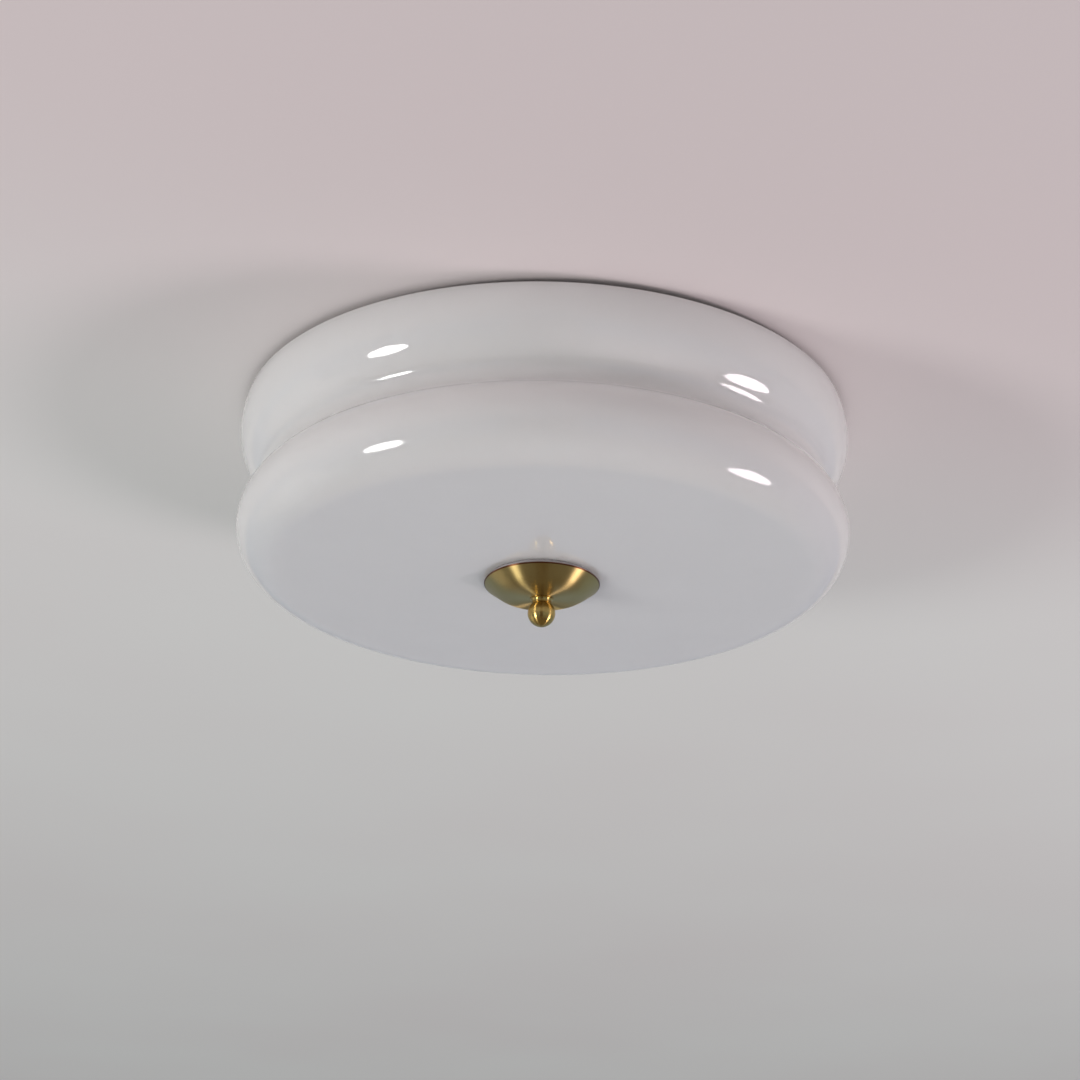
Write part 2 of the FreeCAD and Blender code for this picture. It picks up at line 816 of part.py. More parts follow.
def make_angle_bracket():
    """A bent steel strip: a foot under the pan floor and a plate that carries the lampholder."""
    plate_x = holder_rear - angle_sheet
    half = angle_width / 2
    plate_low = V(plate_x, -half, lamp_axis_z - angle_plate_below_axis)
    plate = box(plate_low, V(holder_rear, half, pan_under_z))
    foot = box(V(plate_x, -half, foot_under_z), V(plate_x + angle_foot_length, half, pan_under_z))
    bracket = plate.fuse(foot).removeSplitter()
    bracket = bracket.makeFillet(angle_bend_radius, edges_along_y(bracket, plate_x, pan_under_z))
    inner_radius = angle_bend_radius - angle_sheet
    bracket = bracket.makeFillet(inner_radius, edges_along_y(bracket, holder_rear, foot_under_z))
    for x in foot_screw_xs():
        bracket = bracket.cut(Part.makeCylinder(m4_hole_radius, angle_sheet, V(x, 0, foot_under_z)))
    for z in holder_screw_zs():
        bracket = bracket.cut(Part.makeCylinder(m3_hole_radius, angle_sheet, V(plate_x, 0, z), V(1, 0, 0)))
    return bracket


def holder_screw_zs():
    return [lamp_axis_z + side * holder_screw_offset for side in (-1, 1)]


def wire_entry_xs():
    return {"neutral": holder_rear + wire_entry_far, "live": holder_rear + wire_entry_near}


def make_holder_body():
    """A glazed porcelain lampholder: thick rear block, bore for the screw shell, raised lip at its mouth."""
    mouth = holder_length
    lip_start = mouth - holder_lip_length
    body = turned(
        outline(
            [
                (0, 0),
                (holder_radius - holder_edge_round, 0),
                (holder_radius, holder_edge_round),
                (holder_radius, lip_start - holder_edge_round),
                (holder_lip_radius, lip_start),
                (holder_lip_radius, mouth - holder_edge_round),
                (holder_lip_radius - holder_edge_round, mouth),
                (holder_bore_radius + holder_edge_round / 2, mouth),
                (holder_bore_radius, mouth - holder_edge_round / 2),
                (holder_bore_radius, holder_ledge),
                (contact_well_radius, holder_ledge),
                (contact_well_radius, contact_well_floor),
                (0, contact_well_floor),
            ]
        )
    )
    body = on_lamp_axis(body)
    for z in holder_screw_zs():
        body = body.cut(Part.makeCylinder(m3_radius, holder_screw_depth, V(holder_rear, 0, z), V(1, 0, 0)))
    top_z = lamp_axis_z + holder_radius
    mouth_z = lamp_axis_z + math.sqrt(holder_radius**2 - wire_entry_y**2) - wire_mouth_depth
    for x in wire_entry_xs().values():
        entry_low = V(x, wire_entry_y, wire_end_z)
        body = body.cut(Part.makeCylinder(wire_hole_radius, top_z - wire_end_z, entry_low))
        mouth_low = V(x, wire_entry_y, mouth_z)
        mouth_height = wire_mouth_depth + wire_mouth_overrun
        body = body.cut(Part.makeCone(wire_hole_radius, wire_mouth_radius, mouth_height, mouth_low))
        screw_z = lamp_axis_z + clamp_screw_above_axis
        shank_start = V(x, wire_entry_y, screw_z)
        reach = clamp_head_seat - wire_entry_y
        body = body.cut(Part.makeCylinder(clamp_screw_radius, reach, shank_start, V(0, 1, 0)))
        seat = V(x, clamp_head_seat, screw_z)
        body = body.cut(Part.makeCylinder(clamp_head_radius + clamp_gap, holder_radius, seat, V(0, 1, 0)))
    return body


def make_holder_clamp_screws():
    """Two screws in the holder's side that clamp the live and neutral wires."""
    tip_y = wire_entry_y + wire_radius + clamp_gap
    screws = []
    inwards = V(0, -1, 0)
    length = clamp_head_seat - tip_y
    for x in wire_entry_xs().values():
        seat = V(x, clamp_head_seat, lamp_axis_z + clamp_screw_above_axis)
        screws.append(
            pan_head_screw(seat, inwards, length, clamp_screw_radius, clamp_head_radius, clamp_head_height)
        )
    return Part.makeCompound(screws)


def make_holder_fixing_screws():
    length = angle_sheet + holder_screw_depth
    seat_x = holder_rear - angle_sheet
    screws = [
        pan_head_screw(V(seat_x, 0, z), V(1, 0, 0), length, m3_radius, m3_head_radius, m3_head_height)
        for z in holder_screw_zs()
    ]
    return Part.makeCompound(screws)


def make_holder_shell():
    """The metal screw shell; its thread is left out, so its bore clears the bulb cap's crests."""
    outer = shell_bore_radius + shell_sheet
    shell = turned(
        outline(
            [
                (contact_well_radius, holder_ledge),
                (outer, holder_ledge),
                (outer, holder_ledge + shell_length),
                (shell_bore_radius, holder_ledge + shell_length),
                (shell_bore_radius, holder_ledge + shell_sheet),
                (contact_well_radius, holder_ledge + shell_sheet),
            ]
        )
    )
    return on_lamp_axis(shell)


def make_holder_contact():
    """A springy brass leaf bent up from the floor of the contact well to the bulb's tip."""
    half = leaf_half_length
    top = leaf_top_half
    floor = contact_well_floor
    tip = bulb_tip
    thick = leaf_thickness
    leaf = Part.Face(
        Part.Wire(
            outline(
                [
                    (-half, floor),
                    (half, floor),
                    (half, floor + thick),
                    (top + thick, tip),
                    (-top, tip),
                    (-top, tip - thick),
                    (top, tip - thick),
                    (half - thick * 1.5, floor + thick),
                    (-half, floor + thick),
                ]
            )
        )
    ).extrude(V(0, leaf_width, 0))
    leaf.translate(V(0, -leaf_width / 2, 0))
    return on_lamp_axis(leaf)


def make_foot_screws():
    """Screws that hold both angle brackets up against the pan floor."""
    length = pan_sheet + angle_sheet + m4_nut_height + m4_thread_past_nut
    return [
        pan_head_screw(
            V(side * x, 0, pan_upper_z), V(0, 0, -1), length, m4_radius, m4_head_radius, m4_head_height
        )
        for side in (-1, 1)
        for x in foot_screw_xs()
    ]


def make_foot_nuts():
    nut_z = foot_under_z - m4_nut_height
    return [
        hex_nut(m4_nut_flats, m4_nut_height, m4_radius, V(side * x, 0, nut_z), V(0, 0, 1))
        for side in (-1, 1)
        for x in foot_screw_xs()
    ]


# Bulbs: every profile is measured from the bulb's tip


def on_bulb_axis(shape):
    lifted = shape.copy()
    lifted.translate(V(0, 0, bulb_tip))
    return on_lamp_axis(lifted)


def cap_start():
    return bulb_contact_thickness + insulator_height


def make_bulb_contact():
    return on_bulb_axis(disc(bulb_contact_radius, bulb_contact_thickness, bulb_contact_thickness))


def make_bulb_insulator():
    insulator = turned(
        outline(
            [
                (0, bulb_contact_thickness),
                (insulator_small_radius, bulb_contact_thickness),
                (insulator_large_radius, cap_start()),
                (0, cap_start()),
            ]
        )
    )
    return on_bulb_axis(insulator)


def cap_wave(inset):
    """The rolled thread as a wave of crests and roots along the cap."""
    crest = cap_crest_radius - inset
    root = cap_root_radius - inset
    first = cap_start() + cap_sheet
    points = []
    for half_turn in range(2 * cap_turns + 1):
        radius = root if half_turn % 2 == 0 else crest
        points.append(V(radius, 0, first + half_turn * cap_pitch / 2))
    wave = Part.BSplineCurve()
    wave.interpolate(points, InitialTangent=V(0, 0, 1), FinalTangent=V(0, 0, 1))
    return points[0], points[-1], wave.toShape()


def make_bulb_cap():
    outer_first, outer_last, outer = cap_wave(0.0)
    inner_first, inner_last, inner = cap_wave(cap_sheet)
    start = cap_start()
    lip_outer = V(outer_first.x, 0, start)
    lip_inner = V(cap_lip_radius, 0, start)
    lip_inner_top = V(cap_lip_radius, 0, inner_first.z)
    end_outer = V(outer_last.x, 0, cap_skirt_end)
    end_inner = V(inner_last.x, 0, cap_skirt_end)
    edges = [
        outer,
        line(outer_last, end_outer),
        line(end_outer, end_inner),
        line(end_inner, inner_last),
        inner,
        line(inner_first, lip_inner_top),
        line(lip_inner_top, lip_inner),
        line(lip_inner, lip_outer),
        line(lip_outer, outer_first),
    ]
    return on_bulb_axis(turned(edges))


def globe_mouth_radius(radius):
    centre = bulb_length - globe_radius
    return math.sqrt(radius**2 - (centre - housing_end) ** 2)


def make_bulb_housing():
    """The flared neck that joins the cap to the globe."""
    large = globe_mouth_radius(globe_radius)
    middle_z = (cap_skirt_end + housing_end) / 2
    wall = housing_wall
    edges = [
        Part.Arc(
            V(housing_small_radius, 0, cap_skirt_end),
            V(housing_middle_radius, 0, middle_z),
            V(large, 0, housing_end),
        ).toShape(),
        line(V(large, 0, housing_end), V(large - wall, 0, housing_end)),
        Part.Arc(
            V(large - wall, 0, housing_end),
            V(housing_middle_radius - wall, 0, middle_z),
            V(housing_small_radius - wall, 0, cap_skirt_end),
        ).toShape(),
        line(V(housing_small_radius - wall, 0, cap_skirt_end), V(housing_small_radius, 0, cap_skirt_end)),
    ]
    return on_bulb_axis(turned(edges))


def make_bulb_globe():
    centre_z = bulb_length - globe_radius
    inner_radius = globe_radius - globe_wall
    outer_mouth = V(globe_mouth_radius(globe_radius), 0, housing_end)
    inner_mouth = V(globe_mouth_radius(inner_radius), 0, housing_end)
    edges = [
        Part.Arc(outer_mouth, V(globe_radius, 0, centre_z), V(0, 0, bulb_length)).toShape(),
        line(V(0, 0, bulb_length), V(0, 0, bulb_length - globe_wall)),
        Part.Arc(V(0, 0, bulb_length - globe_wall), V(inner_radius, 0, centre_z), inner_mouth).toShape(),
        line(inner_mouth, outer_mouth),
    ]
    return on_bulb_axis(turned(edges))


def make_led_board():
    return on_bulb_axis(disc(board_radius, housing_end, board_thickness))


def make_led_chips():
    chips = []
    half = chip_size / 2
    places = [
        V(chip_ring_radius * math.cos(a), chip_ring_radius * math.sin(a), housing_end)
        for a in (2 * math.pi * k / chip_count for k in range(chip_count))
    ]
    for place in places:
        chips.append(box(place - V(half, half, 0), place + V(half, half, chip_height)))
    return on_bulb_axis(Part.makeCompound(chips))


def make_driver_board():
    half = driver_width / 2
    thick = driver_thickness / 2
    board = box(V(-half, -thick, driver_start), V(half, thick, housing_end - board_thickness))
    return on_bulb_axis(board)


# Internal wiring


def tube_along(points, radius):
    """A round tube along straight runs joined by tangent arcs as large as the runs allow."""
    edges = []
    start = points[0]
    for before, here, after in zip(points, points[1:], points[2:]):
        arriving = (here - before).normalize()
        leaving = (after - here).normalize()
        half_turn = arriving.getAngle(leaving) / 2
        tangent = wire_bend_share * min((here - before).Length, (after - here).Length)
        bend = tangent / math.tan(half_turn)
        first = here - arriving * tangent
        last = here + leaving * tangent
        inward = (leaving - arriving).normalize()
        centre = here + inward * (bend / math.cos(half_turn))
        edges.append(line(start, first))
        edges.append(Part.Arc(first, centre - inward * bend, last).toShape())
        start = last
    edges.append(line(start, points[-1]))
    path = Part.Wire(edges)
    direction = (points[1] - points[0]).normalize()
    section = Part.Wire(Part.makeCircle(radius, points[0], direction))
    tube = path.makePipeShell([section], True, False)
    wanted = path.Length * math.pi * radius**2
    print("wire length %.1f, volume over section times length %.4f" % (path.Length, tube.Volume / wanted))
    return tube


def supply_wire(pole_x, entry_x, dip, hand):
    """One wire from a pole of the terminal block to an entry hole in the lampholder on one side."""
    block_face = block_centre_y - block_width / 2
    port_x = pole_x + hand * wire_pair_offset
    points = [
        V(port_x, block_face + wire_grip_length, pole_z),
        V(port_x, block_face - wire_straight, pole_z),
    ]
    if pole_x * hand < 0:
        points.append(V(0, block_face - wire_crossing_reach, pole_z - dip))
    points.append(V(hand * entry_x, wire_entry_y, pole_z - dip))
    points.append(V(hand * entry_x, wire_entry_y, wire_end_z))
    return tube_along(points, wire_radius)


def make_wires():
    """Wires that cross over to the far lampholder pass one above the other."""
    entries = wire_entry_xs()
    return {
        "right_neutral_wire": supply_wire(pole_spacing, entries["neutral"], wire_dips[0], 1),
        "left_live_wire": supply_wire(-pole_spacing, entries["neutral"], wire_dips[0], -1),
        "right_live_wire": supply_wire(-pole_spacing, entries["live"], wire_dips[1], 1),
        "left_neutral_wire": supply_wire(pole_spacing, entries["live"], wire_dips[2], -1),
    }


def make_earth_wire():
    """From the middle pole, out of the block and round to the tail of the earth lug."""
    port = V(0, block_centre_y - block_width / 2, pole_z)
    tail_reach = lug_radius - lug_overlap + lug_tail_length
    tail_end = V(earth_x, earth_y, lug_tail_z) + lug_direction() * tail_reach
    points = [port + V(0, wire_grip_length, 0)]
    points += [port + V(x, y, z) for x, y, z in earth_wire_bends]
    points.append(tail_end + lug_direction() * earth_wire_lead)
    points.append(tail_end - lug_direction() * (lug_tail_length / 2))
    return tube_along(points, wire_radius)


def build_parts():
    """Every piece by its node name; a list is a group of identical pieces in one node."""
    pieces = {
        "ceiling_strap": make_ceiling_strap(),
        "strap_studs": make_strap_studs(),
        "stud_lock_nuts": make_stud_nuts(),
        "ceiling_pan": make_ceiling_pan(),
        "cap_nut_washers": make_cap_washers(),
        "pan_cap_nuts": make_cap_nuts(),
        "hanger_rod": make_hanger_rod(),
        "rod_nuts": make_rod_nuts(),
        "rod_washers": make_rod_washers(),
        "stop_nut": make_stop_nut(),
        "stop_washer": make_stop_washer(),
        "rubber_ring": make_rubber_ring(),
        "cable_grommet": make_cable_grommet(),
        "terminal_block": make_terminal_block(),
        "terminal_inserts": make_terminal_inserts(),
        "terminal_screws": make_terminal_screws(),
        "block_fixing_screw": make_block_fixing_screw(),
        "earth_screw": make_earth_screw(),
        "earth_nut": make_earth_nut(),
        "earth_lug": make_earth_lug(),
        "earth_wire": make_earth_wire(),
        "bracket_foot_screws": make_foot_screws(),
        "bracket_foot_nuts": make_foot_nuts(),
        "glass_shade": make_glass_shade(),
        "shade_washer": make_shade_washer(),
        "brass_dish": make_brass_dish(),
        "finial_knob": make_finial_knob(),
    }
    pieces.update(make_wires())
    one_side = {
        "holder_bracket": make_angle_bracket(),
        "holder_body": make_holder_body(),
        "holder_shell": make_holder_shell(),
        "holder_contact": make_holder_contact(),
        "holder_clamp_screws": make_holder_clamp_screws(),
        "holder_fixing_screws": make_holder_fixing_screws(),
        "bulb_contact": make_bulb_contact(),
        "bulb_insulator": make_bulb_insulator(),
        "bulb_cap": make_bulb_cap(),
        "bulb_housing": make_bulb_housing(),
        "bulb_globe": make_bulb_globe(),
        "bulb_led_board": make_led_board(),
        "bulb_led_chips": make_led_chips(),
        "bulb_driver_board": make_driver_board(),
    }
    for name, right in one_side.items():
        for side, shape in both_sides(right).items():
            pieces[side + "_" + name] = shape
    return pieces


def write_parts(pieces):
    os.makedirs("parts", exist_ok=True)
    for name, shape in pieces.items():
        if isinstance(shape, list):
            shape = Part.makeCompound(shape)
        shape.exportStep("parts/" + name + ".step")
        print(name, "solids", len(shape.Solids), "volume", round(shape.Volume), "valid", shape.isValid())


write_parts(build_parts())
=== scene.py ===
"""The looks of a flush mount ceiling light: opal glass, brass and the hardware behind them.

It is laid out as an add-on and is run as a script. Lengths are metres, in the part's own frame: the origin
is the centre of the ceiling face, +Z points up into the ceiling, and the light hangs below it.
"""

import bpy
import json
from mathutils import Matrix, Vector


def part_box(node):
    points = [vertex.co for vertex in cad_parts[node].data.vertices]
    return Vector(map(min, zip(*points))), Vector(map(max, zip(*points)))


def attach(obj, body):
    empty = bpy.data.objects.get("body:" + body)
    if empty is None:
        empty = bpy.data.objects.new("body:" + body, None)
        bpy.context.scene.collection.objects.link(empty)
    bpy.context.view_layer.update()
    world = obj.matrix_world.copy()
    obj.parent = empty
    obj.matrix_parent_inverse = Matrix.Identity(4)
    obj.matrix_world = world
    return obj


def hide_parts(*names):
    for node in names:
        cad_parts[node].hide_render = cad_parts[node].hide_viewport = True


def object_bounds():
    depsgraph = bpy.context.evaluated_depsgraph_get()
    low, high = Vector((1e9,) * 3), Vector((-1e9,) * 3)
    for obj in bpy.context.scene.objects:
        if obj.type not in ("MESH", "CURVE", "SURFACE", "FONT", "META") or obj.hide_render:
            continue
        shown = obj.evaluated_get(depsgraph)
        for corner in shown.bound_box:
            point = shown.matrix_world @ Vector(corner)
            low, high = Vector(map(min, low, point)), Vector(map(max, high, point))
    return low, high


bl_info = {
    "name": "Flush Mount Ceiling Light",
    "version": (1, 0, 0),
    "blender": (4, 5, 0),
    "location": "View3D > Sidebar > Ceiling Light",
    "description": "Builds the finished glass, brass and hardware of a flush mount ceiling light",
    "category": "Object",
}

import json
import math

import bmesh
import bpy
from mathutils import Matrix, Vector

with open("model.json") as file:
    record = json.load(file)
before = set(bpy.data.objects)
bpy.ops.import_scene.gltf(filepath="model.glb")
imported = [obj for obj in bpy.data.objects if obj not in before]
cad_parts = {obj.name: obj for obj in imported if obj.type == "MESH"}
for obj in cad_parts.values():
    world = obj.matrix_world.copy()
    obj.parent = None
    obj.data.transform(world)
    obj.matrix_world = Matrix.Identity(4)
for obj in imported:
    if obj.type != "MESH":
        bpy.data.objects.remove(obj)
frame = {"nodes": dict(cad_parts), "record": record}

cad_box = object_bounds()
glass_low, glass_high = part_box("glass_shade")
washer_low, washer_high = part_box("shade_washer")
dish_low, dish_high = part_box("brass_dish")
knob_low, knob_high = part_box("finial_knob")
rod_low, rod_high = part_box("hanger_rod")
pan_low, pan_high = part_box("ceiling_pan")
cap_low, cap_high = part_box("right_bulb_cap")

# The stage's fixed values

SURROUND_TINT = (0.975, 0.985, 1.0)
# The ceiling's far-side colour is painted light: a tint for how light falls, not a second paint.
FAR_CEILING_PAINTED_LIGHT = (0.742, 0.754, 0.732)
FAR_DIRECTION = (-0.35, 0.9, 0.0)
FAR_START = -0.3
FAR_END = 0.25
MIRRORED_FLOOR_TOP = -0.8
MIRRORED_WALL_FOOT = -0.4
LAMP_DISTANCE = 2.5
LEFT_TINT = (1.0, 0.995, 0.98)
LEFT_SIZE = (0.66, 0.62)
RIGHT_TINT = (1.0, 0.87, 0.92)
RIGHT_SIZE = (0.68, 0.80)
NEAR_CARD = {
    "paint": (0.09, 0.065, 0.045),
    "size": (0.8, 1.7),
    "place": (0.0, -1.7, -1.0),
    "facing": (0.0, 1.0, 0.2),
}
LEFT_CARD = {
    "paint": (0.85, 0.85, 0.85),
    "size": (1.5, 1.3),
    "place": (-1.95, 0.75, -1.05),
    "facing": (0.85, -0.35, 0.4),
}
CAMERA_YAW = 0.0012
CAMERA_PITCH = 0.4087
CAMERA_ROLL = 0.0169

# How finely the turned pieces are divided

GLASS_SEGMENTS = 192
DISH_SEGMENTS = 160
WASHER_SEGMENTS = 128
CEILING_SEGMENTS = 128
KNOB_SEGMENTS = 96
CAP_SEGMENTS = 60
CAP_ROWS = 66
ROD_SEGMENTS = 30
ROD_ROWS_PER_TURN = 6


# Settings that a user would change


def length(name, description, default):
    return bpy.props.FloatProperty(
        name=name,
        description=description,
        default=default,
        min=0.0,
        precision=5,
        subtype="DISTANCE",
        unit="LENGTH",
    )


def share(name, description, default):
    return bpy.props.FloatProperty(name=name, description=description, default=default, min=0.1, max=0.9)


def strength(name, description, default):
    return bpy.props.FloatProperty(name=name, description=description, default=default, min=0.0)


def lamp_power(name, description, default):
    return bpy.props.FloatProperty(
        name=name, description=description, default=default, min=0.0, unit="POWER"
    )


def turned(name, description, degrees):
    return bpy.props.FloatProperty(
        name=name, description=description, default=math.radians(degrees), subtype="ANGLE", unit="ROTATION"
    )


def colour(name, description, default):
    return bpy.props.FloatVectorProperty(
        name=name, description=description, default=default, size=3, min=0.0, max=1.0, subtype="COLOR"
    )


class CeilingLightGlass(bpy.types.PropertyGroup):
    """Sizes and colour of the opal glass shade."""

    upper_radius: length("Upper Radius", "Widest radius of the upper lobe", glass_high.x)
    lower_radius: length("Lower Radius", "Widest radius of the lower lobe", 0.1747)
    upper_drop: length("Upper Drop", "From the rim down to the widest place of the upper lobe", 0.0141)
    lobe_spacing: length("Lobe Spacing", "From one lobe's widest place down to the other's", 0.0592)
    crown_round: length("Crown Round", "Section radius of the upper lobe above its widest place", 0.037)
    under_round: length("Under Round", "Section radius of the upper lobe below its widest place", 0.030)
    waist_round: length("Waist Round", "Radius of the concave round between the lobes", 0.010)
    shoulder_round: length("Shoulder Round", "The same for the lower lobe above its widest place", 0.024)
    flat_radius: length("Flat Radius", "Radius of the flat underside", 0.1508)
    side_pull: share("Side Pull", "How long the corner keeps to the side", 0.34)
    flat_pull: share("Flat Pull", "How long the corner keeps to the flat", 0.75)
    wall: length("Wall", "Thickness of the glass", 0.004)
    hole_radius: length("Hole Radius", "Radius of the centre hole", 0.0065)
    milk: colour("Milk", "Colour of the opal glass", (0.970, 0.962, 0.955))


class CeilingLightBrass(bpy.types.PropertyGroup):
    """Sizes and colours of the brass dish, its washer and the ball knob."""

    bore_gap: length("Bore Gap", "Room between the rod and the holes of the dish and the washer", 0.0004)
    collar_gap: length("Washer Gap", "Room between the washer's collar and the glass hole", 0.0004)
    washer_round: length("Washer Edge", "Bevel along the washer's edges", 0.0004)
    dish_wall: length("Dish Wall", "Thickness of the spun dish", 0.0012)
    hem_width: length("Hem Width", "Width of the hem folded in at the rim", 0.004)
    edge_round: length("Edge Round", "Radius of the folded edge of the rim", 0.0003)
    dark_rim_line: length("Tarnished Edge", "Width of the darkened line along the rim", 0.0008)
    shoulder_radius: length("Shoulder Radius", "Where the dish's two slopes would meet", 0.0228)
    shoulder_drop: length("Shoulder Drop", "From the rim down to where the slopes would meet", 0.0083)
    shoulder_round: length("Shoulder Round", "Radius that joins the two slopes", 0.016)
    throat_radius: length("Throat Radius", "Radius of the flat round the rod", 0.007)
    ball_radius: length("Ball Radius", "Radius of the ball knob", knob_high.x)
    collar_radius: length("Collar Radius", "Radius of the knob's collar", 0.0066)
    neck_radius: length("Neck Radius", "Narrowest radius above the ball", 0.0053)
    neck_drop: length("Neck Drop", "From the dish down to the narrowest place", 0.0026)
    lip_height: length("Lip Height", "Straight part at the top of the collar", 0.0005)
    lip_round: length("Lip Round", "Radius of the collar's top edge", 0.0002)
    thread_fit: length("Thread Fit", "Room between the rod and the knob's hole", 0.00005)
    rod_end_gap: length("Rod End Gap", "From the end of the rod to the bottom of the knob's hole", 0.0006)
    satin: colour("Satin Brass", "Colour of the dish", (0.66, 0.50, 0.20))
    polished: colour("Polished Brass", "Colour of the knob", (0.67, 0.47, 0.15))


class CeilingLightThreads(bpy.types.PropertyGroup):
    """Sizes of the rolled and cut threads."""

    rod_pitch: length("Rod Pitch", "Thread pitch of the hanging rod", 0.001)
    rod_depth: length("Rod Thread Depth", "From crest to root of the rod's thread", 0.00055)
    rod_chamfer: length("Rod Chamfer", "Chamfer at the rod's ends", 0.0006)
    cap_pitch: length("Cap Pitch", "Pitch of the bulb caps' rolled thread", 0.003629)
    cap_depth: length("Cap Thread Depth", "From crest to root of the caps' thread", 0.0008)
    cap_sheet: length("Cap Sheet", "Thickness of the caps' sheet", 0.0003)
    cap_lip: length("Cap Lip", "Inner radius of the caps' turned-in lip", 0.0115)


class CeilingLightStage(bpy.types.PropertyGroup):
    """The plain ceiling, the studio lamps and the camera."""

    ceiling: colour("Ceiling", "Colour of the ceiling paint", (0.702, 0.622, 0.622))
    ceiling_reach: length("Ceiling Reach", "Radius of the piece of ceiling shown", 7.0)
    ceiling_gap: length("Ceiling Gap", "Room between the light and the piece of ceiling", 0.0003)
    ceiling_lap: length("Ceiling Lap", "How far the ceiling reaches in over the pan's rim", 0.0005)
    wall_light: strength("Wall Light", "Strength of the soft light that comes in level", 0.80)
    floor_light: strength("Floor Light", "Strength of the soft light from straight below", 0.315)
    mirrored_wall: colour("Mirrored Wall", "What polished pieces mirror at the sides", (0.23, 0.29, 0.37))
    mirrored_floor: colour("Mirrored Floor", "What polished pieces mirror below", (0.15, 0.122, 0.09))
    left_power: lamp_power("Left Lamp", "Power of the soft lamp on the left", 20.0)
    left_azimuth: turned("Left Azimuth", "Where the left lamp stands, from the camera's side", -60.0)
    left_drop: turned("Left Drop", "How far the left lamp is below the level", 26.0)
    right_power: lamp_power("Right Lamp", "Power of the soft lamp on the right", 18.0)
    right_azimuth: turned("Right Azimuth", "Where the right lamp stands, from the camera's side", 88.5)
    right_drop: turned("Right Drop", "How far the right lamp is below the level", 35.0)
    camera_distance: length("Camera Distance", "From the light's axis to the camera, level", 1.2625)
    camera_drop: length("Camera Drop", "From the ceiling down to the camera", 0.6216)
    lens: bpy.props.FloatProperty(
        name="Lens", description="Focal length", default=80.0, min=1.0, subtype="DISTANCE_CAMERA"
    )


# Materials


